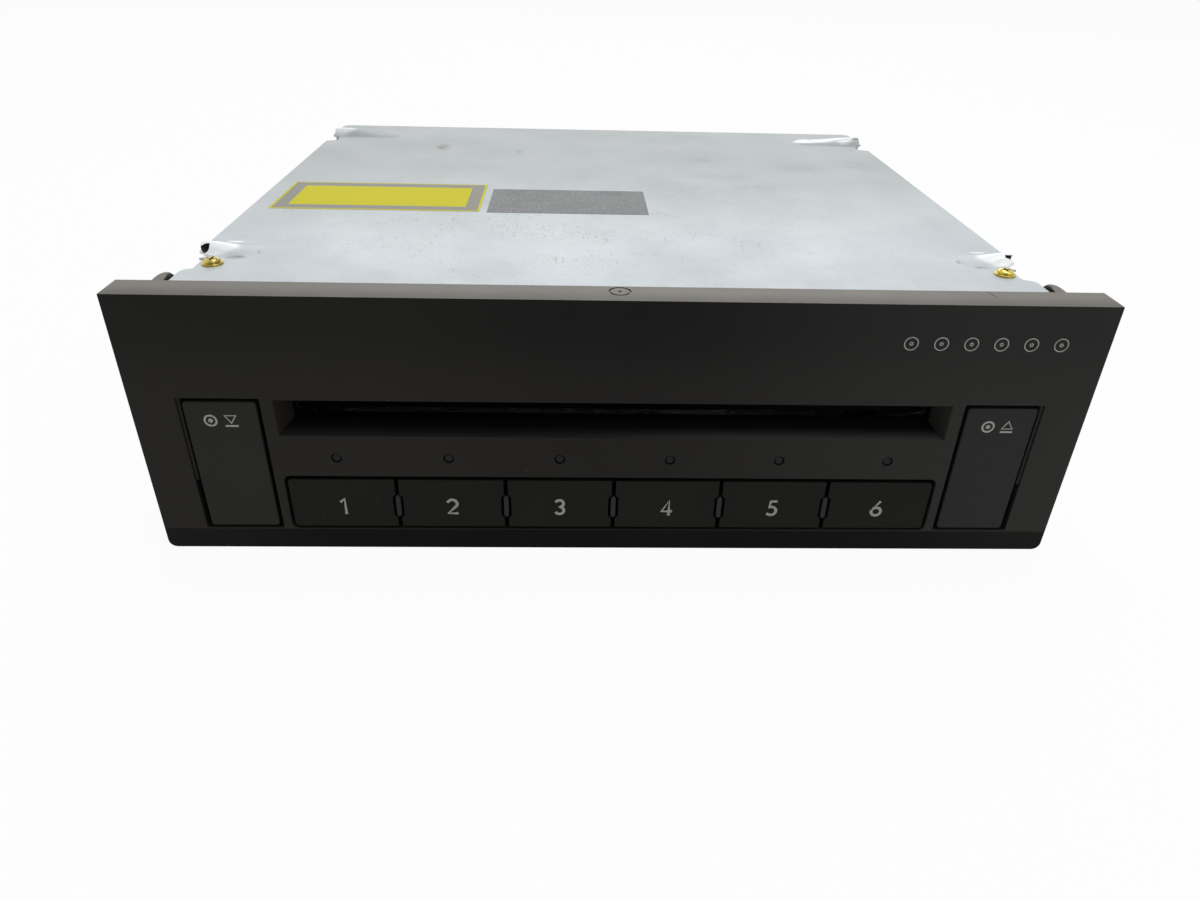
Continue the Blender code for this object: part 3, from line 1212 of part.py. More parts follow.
def pickup(pivot):
    """Spindle motor and turntable, and the sled with its lens, rod, screw and motor."""
    tip = on_arm(0, 0)
    low = ARM_TOP + GAP
    can = Shape().rod(tip, SPINDLE_MOTOR_RADIUS, "Z", low, low + SPINDLE_MOTOR_HEIGHT, ROUND_SIDES)
    motor = piece("spindle_motor", can, MOTOR_CAN, pivot)
    bore_low = low + SPINDLE_MOTOR_HEIGHT / 4
    cut(motor, Shape().rod(tip, SPINDLE_RADIUS + RUNNING_GAP, "Z", bore_low, TURNTABLE_Z + OVERRUN), pivot)
    turn = Carrier("turntable_turn", (*tip, TURNTABLE_Z), pivot)
    deck = TURNTABLE_Z + TURNTABLE_THICKNESS
    profile = (
        (SPINDLE_RADIUS, bore_low + GAP),
        (SPINDLE_RADIUS, TURNTABLE_Z),
        (TURNTABLE_RADIUS, TURNTABLE_Z),
        (TURNTABLE_RADIUS, deck),
        (TURNTABLE_HUB_RADIUS, deck),
        (TURNTABLE_HUB_RADIUS * 4 / 5, deck + TURNTABLE_HUB_HEIGHT),
    )
    piece("turntable", Shape().turned(profile, tip, "Z"), NATURAL_PLASTIC, turn)
    ends = (ARM_TIP_Y + ROD_START, ARM_TIP_Y + ROD_END)
    left, right = ARM_PIVOT_X - ROD_OFFSET, ARM_PIVOT_X + ROD_OFFSET
    piece("sled_guide_rod", Shape().rod((left, ROD_Z), ROD_RADIUS, "Y", *ends), STEEL, pivot)
    screw_turn = Carrier("sled_screw_turn", (right, ends[0], ROD_Z), pivot)
    piece("sled_screw", Shape().rod((right, ROD_Z), ROD_RADIUS, "Y", *ends), STEEL, screw_turn)
    start = ends[1] + SLED_MOTOR_GAP
    can = Shape().rod((right, ROD_Z), SLED_MOTOR_RADIUS, "Y", start, start + SLED_MOTOR_LENGTH, ROUND_SIDES)
    piece("sled_motor", can, MOTOR_CAN, pivot)
    slide = Carrier("pickup_sled_slide", (*on_arm(0, SLED_START), ROD_Z), pivot)
    base = ROD_Z - SLED_HEIGHT / 2
    end = SLED_START + SLED_LENGTH
    body = Shape().box(
        (*on_arm(-SLED_HALF_WIDTH, SLED_START), base), (*on_arm(SLED_HALF_WIDTH, end), base + SLED_HEIGHT)
    )
    sled = piece("pickup_sled", body, FRAME_PLASTIC, slide)
    bores = Shape()
    for x in (left, right):
        span = (ARM_TIP_Y + SLED_START - OVERRUN, ARM_TIP_Y + end + OVERRUN)
        bores.rod((x, ROD_Z), ROD_RADIUS + RUNNING_GAP, "Y", *span)
    cut(sled, bores, slide)
    centre = on_arm(0, SLED_START + SLED_LENGTH / 2)
    seat = base + SLED_HEIGHT + LENS_GAP
    focus = Carrier("pickup_lens_focus", (*centre, seat), slide)
    profile = (
        (LENS_RADIUS, seat),
        (LENS_RADIUS, seat + LENS_HEIGHT / 2),
        (LENS_RADIUS * 4 / 5, seat + LENS_HEIGHT * 5 / 6),
        (LENS_RADIUS * 2 / 5, seat + LENS_HEIGHT),
    )
    piece("pickup_lens", Shape().turned(profile, centre, "Z", SMALL_SIDES), CLEAR_LENS, focus)


def clamp(pivot):
    """Clamp arm on its hinge pin, with the free-running puck that presses the disc down."""
    hinge = (ARM_PIVOT_Y - HINGE_BACK, HINGE_Z)
    swing = Carrier("clamp_hinge", (ARM_PIVOT_X, *hinge), pivot)
    outline = stadium(CLAMP_HALF_WIDTH, 0, ARM_REACH - HINGE_BACK)
    arm = piece("clamp_arm", Shape().prism(outline, "Z", CLAMP_Z, CLAMP_Z + CLAMP_SHEET), GALVANISED, swing)
    half = UPRIGHT_INNER - GAP
    ends = (ARM_PIVOT_X - half, ARM_PIVOT_X + half)
    join(arm, Shape().rod(hinge, KNUCKLE_RADIUS, "X", *ends), swing)
    bores = Shape().rod(hinge, HINGE_PIN_RADIUS + RUNNING_GAP, "X", ends[0] - OVERRUN, ends[1] + OVERRUN)
    tip = on_arm(0, 0)
    levels = (CLAMP_Z - OVERRUN, CLAMP_Z + CLAMP_SHEET + OVERRUN)
    bores.rod(tip, PUCK_NECK_RADIUS + PUCK_CLEARANCE, "Z", *levels, ROUND_SIDES)
    cut(arm, bores, swing)
    top = CLAMP_Z - CLAMP_PUCK_GAP
    cap = CLAMP_Z + CLAMP_SHEET + CLAMP_PUCK_GAP
    turn = Carrier("clamp_puck_turn", (*tip, top), swing)
    profile = (
        (CLAMP_PUCK_RADIUS, top - CLAMP_PUCK_THICKNESS),
        (CLAMP_PUCK_RADIUS, top),
        (PUCK_NECK_RADIUS, top),
        (PUCK_NECK_RADIUS, cap),
        (PUCK_CAP_RADIUS, cap),
        (PUCK_CAP_RADIUS, cap + PUCK_CAP_THICKNESS),
    )
    piece("clamp_puck", Shape().turned(profile, tip, "Z"), NATURAL_PLASTIC, turn)


def ribbon_cable(carrier):
    """Flat cable under the mechanism frame, bent up to both circuit boards."""
    thick = RIBBON_THICKNESS
    front = BOARD_FRONT + BOARD_THICKNESS + GAP
    rear = MAIN_BOARD_FRONT + RIBBON_REAR_OFFSET
    low, end = FLOOR_TOP + GAP, MAIN_BOARD_Z - GAP
    path = [
        (front, low), (rear + thick, low), (rear + thick, end), (rear, end),
        (rear, low + thick), (front + thick, low + thick), (front + thick, RIBBON_TOP), (front, RIBBON_TOP),
    ]
    half = RIBBON_WIDTH / 2
    piece("ribbon_cable", Shape().prism(path, "X", RIBBON_X - half, RIBBON_X + half), SILICONE, carrier)


def main():
    clear_scene()
    root = Carrier("changer_origin", (0, 0, 0))
    front_panel(root)
    keys(root)
    key_guide(root)
    front_electronics(root)
    slot_flap(root)
    chassis_tub(root)
    top_cover(root)
    for name, side in (("cover_screw_left", -1), ("cover_screw_right", 1)):
        screw(name, (side * COVER_SCREW_X, COVER_SCREW_Y, HOUSING_TOP + GAP), root)
    rear_electronics(root)
    mechanism_frame(root)
    dampers(root)
    elevator(root)
    disc_trays(root)
    feed_roller(root)
    pivot_post(root)
    pivot = Carrier("arm_pivot", (ARM_PIVOT_X, ARM_PIVOT_Y, ARM_Z), root)
    swing_arm(pivot)
    pickup(pivot)
    clamp(pivot)
    ribbon_cable(root)


main()
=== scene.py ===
"""Looks of a slot-loading car disc changer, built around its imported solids.

Metres, in the frame of the solids: X runs across the front panel, +Y towards the rear wall, Z up
from the panel's lower edge. Depths are measured back from the panel's face, as in the solids'
source, and DEPTH_ORIGIN turns them into world places.
"""

from __future__ import annotations

import json
import logging
from collections.abc import Callable, Iterator, Sequence
from contextlib import contextmanager
from dataclasses import dataclass
from enum import Enum
from math import cos, pi, radians, sin
from typing import Protocol

import bmesh
import bpy
from mathutils import Matrix, Vector

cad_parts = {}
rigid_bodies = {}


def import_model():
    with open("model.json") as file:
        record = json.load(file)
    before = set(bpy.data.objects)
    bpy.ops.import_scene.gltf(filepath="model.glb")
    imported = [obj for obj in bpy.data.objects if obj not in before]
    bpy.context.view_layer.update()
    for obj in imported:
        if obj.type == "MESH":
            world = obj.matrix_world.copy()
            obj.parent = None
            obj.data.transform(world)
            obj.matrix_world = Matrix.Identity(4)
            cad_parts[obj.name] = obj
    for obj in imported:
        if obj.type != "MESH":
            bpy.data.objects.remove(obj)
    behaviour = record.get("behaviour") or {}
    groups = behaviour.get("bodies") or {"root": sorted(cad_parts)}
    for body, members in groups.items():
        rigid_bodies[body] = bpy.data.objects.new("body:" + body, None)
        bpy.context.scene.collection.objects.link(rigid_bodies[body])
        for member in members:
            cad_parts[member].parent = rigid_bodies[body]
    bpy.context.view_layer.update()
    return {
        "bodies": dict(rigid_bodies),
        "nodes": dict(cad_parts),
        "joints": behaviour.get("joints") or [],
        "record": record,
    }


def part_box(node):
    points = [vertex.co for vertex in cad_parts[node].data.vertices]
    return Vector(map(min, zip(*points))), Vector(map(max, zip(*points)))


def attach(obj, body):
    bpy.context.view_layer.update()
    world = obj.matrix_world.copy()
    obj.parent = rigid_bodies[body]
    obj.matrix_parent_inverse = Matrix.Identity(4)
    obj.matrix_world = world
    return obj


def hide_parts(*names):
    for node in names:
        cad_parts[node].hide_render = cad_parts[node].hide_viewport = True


LOG = logging.getLogger("disc_changer")
DEPTH_ORIGIN = -0.0859
TINY = 1e-5
UPWARD = 0.9

Point = tuple[float, float, float]
Colour = tuple[float, float, float]
FaceTest = Callable[[Vector, Vector], bool]
EdgeTest = Callable[[Vector, Vector], bool]
Path2D = list[tuple[float, float]]
Field = tuple[float, float, float, float]


class Slot(Enum):
    """Material slots of the record."""

    PANEL = "panel_plastic"
    KEY = "key_plastic"
    FRAME = "frame_plastic"
    LIGHT = "light_plastic"
    SILICONE = "silicone"
    BOARD = "circuit_board"
    SHEET = "galvanised_sheet"
    YELLOW_ZINC = "yellow_zinc"
    STEEL = "steel"
    NATURAL = "natural_plastic"
    RUBBER = "black_rubber"
    MOTOR = "motor_can"
    LENS = "clear_lens"


def srgb(red: int, green: int, blue: int) -> Colour:
    """Turns a screen colour from 0 to 255 into the linear colour that the shaders use.

    Args:
        red: Red part.
        green: Green part.
        blue: Blue part.

    Returns:
        The linear colour.
    """

    def linear(part: int) -> float:
        """Linear value of one part."""
        share = part / 255
        return share / 12.92 if share <= 0.04045 else ((share + 0.055) / 1.055) ** 2.4

    return linear(red), linear(green), linear(blue)


def rgba(colour: Colour) -> tuple[float, float, float, float]:
    """The colour with full opacity."""
    return (*colour, 1.0)


class Finish(Protocol):
    """What every finish has: a name, and a material that it builds."""

    name: str

    def material(self) -> bpy.types.Material:
        """Builds the material."""


class Recipe:
    """Node tree of one material, written step by step around its Principled shader."""

    def __init__(self, name: str) -> None:
        """Starts the material with that name.

        Args:
            name: Name of the material.
        """
        self.material = bpy.data.materials.new(name)
        self.material.use_nodes = True
        self.tree = self.material.node_tree
        self.shader = self.tree.nodes["Principled BSDF"]
        self.place = self.node("ShaderNodeTexCoord").outputs["Object"]

    def node(self, kind: str, feeds: dict | None = None, **settings: object) -> bpy.types.Node:
        """Adds a node.

        Args:
            kind: Blender's name of the node type.
            feeds: Input sockets by name or number, each with a value or an output socket.
            **settings: Properties of the node.

        Returns:
            The new node.
        """
        made = self.tree.nodes.new(kind)
        for key, value in settings.items():
            setattr(made, key, value)
        for key, value in (feeds or {}).items():
            self.feed(made.inputs[key], value)
        return made

    def feed(self, socket: bpy.types.NodeSocket, value: object) -> None:
        """Links an output socket to the input, or sets the input to a plain value.

        Args:
            socket: The input.
            value: An output socket or a plain value.
        """
        if isinstance(value, bpy.types.NodeSocket):
            self.tree.links.new(value, socket)
        else:
            socket.default_value = value

    def stretched(self, stretch: Point, turn: float = 0.0) -> bpy.types.NodeSocket:
        """Object coordinates, turned about Z and scaled differently along each axis."""
        feeds = {"Vector": self.place, "Scale": stretch, "Rotation": (0, 0, turn)}
        return self.node("ShaderNodeMapping", feeds).outputs[0]

    def noise(self, scale: float, detail: float = 3.0, roughness: float = 0.5,
              stretch: Point = (1, 1, 1), turn: float = 0.0) -> bpy.types.NodeSocket:
        """Cloudy noise from 0 to 1.

        Args:
            scale: Waves per metre.
            detail: Number of finer layers.
            roughness: Strength of the finer layers.
            stretch: Scale along each axis.
            turn: Turn of the pattern about Z, in radians.

        Returns:
            The noise value.
        """
        place = self.stretched(stretch, turn)
        feeds = {"Vector": place, "Scale": scale, "Detail": detail, "Roughness": roughness}
        return self.node("ShaderNodeTexNoise", feeds).outputs[0]

    def band(self, value: bpy.types.NodeSocket, low: float, high: float,
             start: float = 0.0, end: float = 1.0) -> bpy.types.NodeSocket:
        """Maps the range from low to high onto start to end, eased and clamped."""
        feeds = {"Value": value, "From Min": low, "From Max": high, "To Min": start, "To Max": end}
        return self.node("ShaderNodeMapRange", feeds, interpolation_type="SMOOTHSTEP").outputs[0]

    def axis(self, letter: str, vector: bpy.types.NodeSocket | None = None) -> bpy.types.NodeSocket:
        """The X, Y or Z of a vector, or of the object coordinates where none is given."""
        return self.node("ShaderNodeSeparateXYZ", {0: vector or self.place}).outputs[letter]

    def maths(self, operation: str, *values: object) -> bpy.types.NodeSocket:
        """One step of arithmetic."""
        return self.node("ShaderNodeMath", dict(enumerate(values)), operation=operation).outputs[0]

    def product(self, first: object, *others: object) -> bpy.types.NodeSocket:
        """Several values multiplied together.

        Args:
            first: The first value.
            *others: The values that it is multiplied by.

        Returns:
            The product.
        """
        for other in others:
            first = self.maths("MULTIPLY", first, other)
        return first

    def blend(self, factor: object, first: object, second: object) -> bpy.types.NodeSocket:
        """Mixes two colours by a factor."""
        feeds = {0: factor, 6: first, 7: second}
        return self.node("ShaderNodeMix", feeds, data_type="RGBA").outputs[2]

    def spot(self, centre: tuple[float, float], size: tuple[float, float]) -> bpy.types.NodeSocket:
        """A soft patch seen from above, 1 at its centre and 0 outside.

        Args:
            centre: World X and Y of the patch.
            size: Half sizes along X and Y.

        Returns:
            The patch's strength.
        """
        x, y = centre
        scale = (1 / size[0], 1 / size[1], 0)
        feeds = {"Vector": self.place, "Location": (-x * scale[0], -y * scale[1], 0), "Scale": scale}
        place = self.node("ShaderNodeMapping", feeds).outputs[0]
        distance = self.node("ShaderNodeVectorMath", {0: place}, operation="LENGTH").outputs["Value"]
        return self.band(distance, 1.0, 0.0)

    def relief(self, height: object, strength: float, distance: float,
               under: bpy.types.NodeSocket | None = None) -> bpy.types.NodeSocket:
        """A bump, on top of another one where that is given.

        Args:
            height: Height over the surface, from 0 to 1.
            strength: Share of it that shows.
            distance: What a height of 1 stands for, in metres.
            under: Normal of the other bump.

        Returns:
            The bumped normal.
        """
        feeds = {"Height": height, "Strength": strength, "Distance": distance}
        if under is not None:
            feeds["Normal"] = under
        return self.node("ShaderNodeBump", feeds).outputs[0]

    def finish(self, **sockets: object) -> bpy.types.Material:
        """Feeds the shader's sockets, named with underscores for spaces, and gives the material.

        Args:
            **sockets: A value or an output socket for each input.

        Returns:
            The material.
        """
        for key, value in sockets.items():
            self.feed(self.shader.inputs[key.replace("_", " ")], value)
        return self.material


# Pale colour of the panel's top faces: dust together with painted sheen, the grazing reflection of bright
# surroundings painted into the colour.
DUST_AND_SHEEN_COLOUR = srgb(124, 121, 115)
DUST_AND_SHEEN_LEVEL = 0.0524
DUST_AND_SHEEN_EDGE = 0.0004
DUST_AND_SHEEN_DEPTH = 0.0055
DUST_AND_SHEEN_FRONT_SHARE = 0.62


@dataclass(frozen=True)
class MouldedPlastic:
    """Moulded plastic with a fine eroded grain, faint dust and uneven sheen.

    The colour may carry painted sheen, paler towards the right end, the left end and the lower edge of the
    panel, painted shade that darkens it with depth, and pale dust with painted sheen on its top faces. All
    reaches are in metres.
    """

    name: str
    colour: Colour
    lift: float = 1.25
    roughness: float = 0.45
    specular: float = 0.16
    grain: float = 2600.0
    grain_height: float = 0.00003
    dust: Colour = (0.16, 0.16, 0.155)
    dust_amount: float = 0.35
    dust_and_sheen: float = 0.0
    wear_and_painted_light: Colour | None = None
    painted_light_from: float = 0.02
    painted_light_to: float = 0.085
    both_ends: bool = False
    left_painted_sheen: Colour | None = None
    left_to: float = -0.050
    low_painted_sheen: Colour | None = None
    low_from: float = 0.052
    low_to: float = 0.036
    low_share: float = 0.145
    painted_shade_depth: float = 0.0
    painted_shade_colour: Colour = srgb(7, 7, 8)

    def material(self) -> bpy.types.Material:
        """Builds the material.

        Returns:
            The material.
        """
        recipe = Recipe(self.name)
        cloud = recipe.noise(45.0, 4.0, 0.6)
        light = tuple(part * self.lift for part in self.colour)
        base = recipe.blend(recipe.band(cloud, 0.3, 0.7), rgba(self.colour), rgba(light))
        base = self.painted_light_tones(recipe, base)
        specks = recipe.band(recipe.noise(1500.0, 2.0), 0.72, 0.80)
        patches = recipe.band(recipe.noise(60.0, 2.0), 0.45, 0.70)
        colour = recipe.blend(recipe.product(specks, patches, self.dust_amount), base, rgba(self.dust))
        # Dust with painted sheen on the top faces.
        if self.dust_and_sheen:
            colour = recipe.blend(self.dust_and_sheen_share(recipe), colour, rgba(DUST_AND_SHEEN_COLOUR))
        sheen = recipe.noise(120.0, 5.0, 0.6)
        rough = recipe.band(sheen, 0.2, 0.8, self.roughness - 0.05, self.roughness + 0.07)
        normal = recipe.relief(recipe.noise(self.grain, 2.0), 0.5, self.grain_height)
        return recipe.finish(
            Base_Color=colour, Roughness=rough, Normal=normal, Specular_IOR_Level=self.specular
        )

    def painted_light_tones(self, recipe: Recipe, base: bpy.types.NodeSocket) -> bpy.types.NodeSocket:
        """The colour with its slow painted changes: painted sheen along and up the panel, painted shade into
        its openings.

        Args:
            recipe: Node tree of the material.
            base: The colour before.

        Returns:
            The colour after.
        """
        # Painted light: the colour turns paler towards the right end, towards both ends where both_ends is
        # set.
        if self.wear_and_painted_light:
            across = recipe.maths("ABSOLUTE", recipe.axis("X")) if self.both_ends else recipe.axis("X")
            base = recipe.blend(recipe.band(across, self.painted_light_from, self.painted_light_to), base, rgba(self.wear_and_painted_light))
        # Painted sheen: paler towards the left end.
        if self.left_painted_sheen:
            base = recipe.blend(recipe.band(recipe.axis("X"), 0.0, self.left_to), base, rgba(self.left_painted_sheen))
        # Painted sheen: paler towards the lower edge.
        if self.low_painted_sheen:
            low = recipe.band(recipe.axis("Z"), self.low_from, self.low_to, 0.0, self.low_share)
            base = recipe.blend(low, base, rgba(self.low_painted_sheen))
        # Painted shade: darker with depth into an opening.
        if self.painted_shade_depth:
            deep = recipe.band(recipe.axis("Y"), DEPTH_ORIGIN, DEPTH_ORIGIN + self.painted_shade_depth)
            base = recipe.blend(deep, base, rgba(self.painted_shade_colour))
        return base

    def dust_and_sheen_share(self, recipe: Recipe) -> bpy.types.NodeSocket:
        """Share of the pale dust with painted sheen that lies on the top faces, thinner towards the front
        edge, where painted shade stands in for its rounding.

        Args:
            recipe: Node tree of the material.

        Returns:
            The share, from 0 to 1.
        """
        normal = recipe.node("ShaderNodeNewGeometry").outputs["Normal"]
        upward = recipe.band(recipe.axis("Z", normal), 0.75, 0.98)
        level = recipe.band(recipe.axis("Z"), DUST_AND_SHEEN_LEVEL, DUST_AND_SHEEN_LEVEL + DUST_AND_SHEEN_EDGE)
        back = recipe.band(recipe.axis("Y"), DEPTH_ORIGIN, DEPTH_ORIGIN + DUST_AND_SHEEN_DEPTH, DUST_AND_SHEEN_FRONT_SHARE, 1.0)
        uneven = recipe.band(recipe.noise(30.0, 4.0, 0.6), 0.25, 0.7, 0.86, 1.0)
        return recipe.product(upward, level, back, uneven, self.dust_and_sheen)


@dataclass(frozen=True)
class StainAndPaintedLight:
    """A mark on the cover, used for stains and for painted highlights and shade: its place back from the
    panel's face, half sizes, colour and strength.
    """

    x: float
    depth: float
    half_x: float
    half_y: float
    colour: Colour
    strength: float

    def patch(self, recipe: Recipe) -> bpy.types.NodeSocket:
        """The mark's soft patch, from 0 to 1."""
        return recipe.spot((self.x, self.depth + DEPTH_ORIGIN), (self.half_x, self.half_y))


COVER_STAINS = (
    StainAndPaintedLight(-0.0506, 0.1398, 0.0034, 0.0070, srgb(96, 99, 82), 0.80),
    StainAndPaintedLight(-0.0257, 0.1347, 0.0018, 0.0048, srgb(84, 86, 84), 0.95),
    StainAndPaintedLight(-0.0748, 0.1578, 0.0060, 0.0035, srgb(140, 143, 142), 0.35),
    StainAndPaintedLight(0.0307, 0.1283, 0.0060, 0.0055, srgb(130, 136, 133), 0.40),
    StainAndPaintedLight(0.0341, 0.1083, 0.0180, 0.0075, srgb(140, 144, 144), 0.32),
    StainAndPaintedLight(0.0437, 0.0965, 0.0120, 0.0070, srgb(140, 144, 143), 0.32),
    StainAndPaintedLight(0.0773, 0.1253, 0.0110, 0.0110, srgb(128, 136, 130), 0.38),
    StainAndPaintedLight(0.0600, 0.1200, 0.0150, 0.0090, srgb(140, 147, 142), 0.32),
    StainAndPaintedLight(0.0240, 0.0900, 0.0300, 0.0160, srgb(142, 145, 147), 0.26),
)
# Painted highlights and painted shade at the cover's beads: pale streaks and crests stand for highlights and
# reflections, greyer spots for shade at the noses and front sides; each also lowers the roughness.
PAINTED_BEAD_LIGHT = (
    StainAndPaintedLight(-0.0835, 0.0410, 0.0026, 0.0007, srgb(246, 249, 250), 0.8),
    StainAndPaintedLight(0.0835, 0.0410, 0.0026, 0.0007, srgb(246, 249, 250), 0.7),
    StainAndPaintedLight(-0.0761, 0.0352, 0.0007, 0.0034, srgb(166, 170, 174), 0.9),
    StainAndPaintedLight(0.0761, 0.0352, 0.0007, 0.0034, srgb(172, 176, 180), 0.9),
    StainAndPaintedLight(-0.0800, 0.0303, 0.0030, 0.0013, srgb(150, 153, 158), 0.9),
    StainAndPaintedLight(0.0800, 0.0303, 0.0028, 0.0011, srgb(168, 171, 176), 0.9),
    StainAndPaintedLight(-0.0850, 0.0345, 0.0060, 0.0042, srgb(244, 246, 247), 0.85),
    StainAndPaintedLight(0.0850, 0.0345, 0.0060, 0.0042, srgb(248, 250, 250), 0.95),
    StainAndPaintedLight(-0.0860, 0.1570, 0.0062, 0.0040, srgb(232, 234, 235), 0.70),
    StainAndPaintedLight(0.0705, 0.1570, 0.0058, 0.0040, srgb(238, 241, 242), 0.8),
    StainAndPaintedLight(0.0765, 0.1570, 0.0070, 0.0040, srgb(238, 241, 242), 0.8),
    StainAndPaintedLight(0.0825, 0.1570, 0.0058, 0.0040, srgb(238, 241, 242), 0.8),
)


@dataclass(frozen=True)
class ZincSheet:
    """Zinc-coated sheet: pale, softly clouded, with painted shade darkening it towards the rear, with specks
    and scratches, and with painted highlights and shade at the beads where they are given.
    """

    name: str
    colour: Colour = srgb(206, 213, 216)
    cloud: Colour = srgb(188, 195, 199)
    painted_rear_shade: Colour = srgb(160, 165, 166)
    speck: Colour = srgb(92, 94, 90)
    stains: tuple[StainAndPaintedLight, ...] = ()
    painted_bead_light: tuple[StainAndPaintedLight, ...] = ()
    painted_rear_shade_from: float = -0.065
    painted_rear_shade_to: float = 0.045
    painted_rear_shade_share: float = 0.85
    patch: tuple[float, float] = (-0.012, 0.056)
    patch_half: tuple[float, float] = (0.120, 0.055)

    def material(self) -> bpy.types.Material:
        """Builds the material.

        Returns:
            The material.
        """
        recipe = Recipe(self.name)
        clouds = recipe.band(recipe.noise(22.0, 5.0, 0.62), 0.35, 0.68)
        base = recipe.blend(clouds, rgba(self.colour), rgba(self.cloud))
        crystals = recipe.noise(420.0, 2.0, 0.5)
        base = recipe.blend(recipe.band(crystals, 0.35, 0.75, 0.0, 0.18), base, rgba(self.cloud))
        # Painted shade: the sheet turns darker towards the rear.
        rear = recipe.band(recipe.axis("Y"), self.painted_rear_shade_from, self.painted_rear_shade_to, 0.0, self.painted_rear_shade_share)
        base = recipe.blend(rear, base, rgba(self.painted_rear_shade))
        for stain in self.stains:
            broken = recipe.band(recipe.noise(260.0, 4.0, 0.7), 0.30, 0.62)
            strength = recipe.product(stain.patch(recipe), broken, stain.strength)
            base = recipe.blend(strength, base, rgba(stain.colour))
        base = recipe.blend(self.speckled(recipe), base, rgba(self.speck))
        rough = recipe.band(recipe.noise(60.0, 5.0, 0.65), 0.25, 0.75, 0.42, 0.54)
        # Painted highlights and painted shade at the beads, each spot also less rough.
        for painted_spot in self.painted_bead_light:
            patch = recipe.band(painted_spot.patch(recipe), 0.0, 0.45)
            base = recipe.blend(recipe.product(patch, painted_spot.strength), base, rgba(painted_spot.colour))
            rough = recipe.maths("SUBTRACT", rough, recipe.product(patch, 0.20))
        ripple = recipe.relief(recipe.noise(14.0, 2.0), 0.3, 0.0003)
        normal = recipe.relief(recipe.noise(900.0, 3.0), 0.25, 0.00004, ripple)
        return recipe.finish(
            Base_Color=base, Roughness=rough, Normal=normal, Metallic=0.16, Specular_IOR_Level=0.25
        )

    def speckled(self, recipe: Recipe) -> bpy.types.NodeSocket:
        """Strength of the fine dark specks and hairlines, densest in the patch of wear.

        Args:
            recipe: Node tree of the material.

        Returns:
            The strength, from 0 to 1.
        """
        centre = (self.patch[0], self.patch[1] + DEPTH_ORIGIN)
        wear_and_painted_light = recipe.maths("MULTIPLY_ADD", recipe.spot(centre, self.patch_half), 0.85, 0.15)
        groups = recipe.band(recipe.noise(70.0, 4.0, 0.65), 0.38, 0.62)
        where = recipe.product(groups, wear_and_painted_light)
        fine = recipe.band(recipe.noise(1900.0, 3.0, 0.6, (1.0, 0.42, 1.0), 0.3), 0.55, 0.70)
        near_specks = recipe.product(fine, where, 0.50)
        single = recipe.band(recipe.noise(700.0, 2.0, 0.5, (1.0, 0.6, 1.0)), 0.79, 0.83, 0.0, 0.7)
        hairs = recipe.band(recipe.noise(1300.0, 1.0, 0.5, (1.0, 0.10, 1.0), 0.45), 0.70, 0.76)
        darkest = recipe.maths("MAXIMUM", near_specks, single)
        return recipe.maths("MAXIMUM", darkest, recipe.product(hairs, where, 0.35))


@dataclass(frozen=True)
class PlatedMetal:
    """Bright plated or drawn metal with fine lines and uneven polish."""

    name: str
    colour: Colour
    tint: Colour
    roughness: float = 0.28
    lines: Point = (1.0, 1.0, 0.06)

    def material(self) -> bpy.types.Material:
        """Builds the material.

        Returns:
            The material.
        """
        recipe = Recipe(self.name)
        cloud = recipe.band(recipe.noise(260.0, 4.0, 0.6), 0.35, 0.65)
        base = recipe.blend(cloud, rgba(self.colour), rgba(self.tint))
        lines = recipe.noise(2400.0, 3.0, 0.6, self.lines)
        rough = recipe.band(lines, 0.3, 0.7, self.roughness - 0.06, self.roughness + 0.10)
        normal = recipe.relief(lines, 0.15, 0.00002)
        return recipe.finish(Base_Color=base, Roughness=rough, Normal=normal, Metallic=1.0)


@dataclass(frozen=True)
class SoftPolymer:
    """Rubber, silicone or unfilled plastic: a cloudy colour with a soft grain."""

    name: str
    colour: Colour
    shade: Colour
    roughness: float = 0.6
    subsurface: float = 0.0
    grain: float = 1400.0

    def material(self) -> bpy.types.Material:
        """Builds the material.

        Returns:
            The material.
        """
        recipe = Recipe(self.name)
        cloud = recipe.band(recipe.noise(150.0, 4.0, 0.6), 0.3, 0.7)
        base = recipe.blend(cloud, rgba(self.colour), rgba(self.shade))
        rough = recipe.band(recipe.noise(300.0, 3.0), 0.3, 0.7, self.roughness - 0.06, self.roughness + 0.08)
        normal = recipe.relief(recipe.noise(self.grain, 3.0), 0.3, 0.00004)
        return recipe.finish(
            Base_Color=base, Roughness=rough, Normal=normal, Subsurface_Weight=self.subsurface
        )


@dataclass(frozen=True)
class CircuitBoard:
    """Green solder mask with pale tracks under it and small tinned pads."""

    name: str = "solder_mask"
    mask: Colour = srgb(18, 84, 48)
    track: Colour = srgb(34, 118, 66)
    pad: Colour = srgb(196, 196, 186)

    def material(self) -> bpy.types.Material:
        """Builds the material.

        Returns:
            The material.
        """
        recipe = Recipe(self.name)
        cells = recipe.node("ShaderNodeTexVoronoi", {"Vector": recipe.place, "Scale": 420.0},
                            distance="CHEBYCHEV", feature="F1")
        tracks = recipe.band(recipe.maths("SINE", recipe.product(cells.outputs[0], 26.0)), 0.1, 0.4)
        base = recipe.blend(tracks, rgba(self.mask), rgba(self.track))
        dots = recipe.node("ShaderNodeTexVoronoi", {"Vector": recipe.place, "Scale": 260.0}, feature="F1")
        pads = recipe.band(dots.outputs[0], 0.14, 0.10)
        base = recipe.blend(pads, base, rgba(self.pad))
        normal = recipe.relief(tracks, 0.4, 0.00004)
        return recipe.finish(Base_Color=base, Roughness=0.32, Normal=normal)


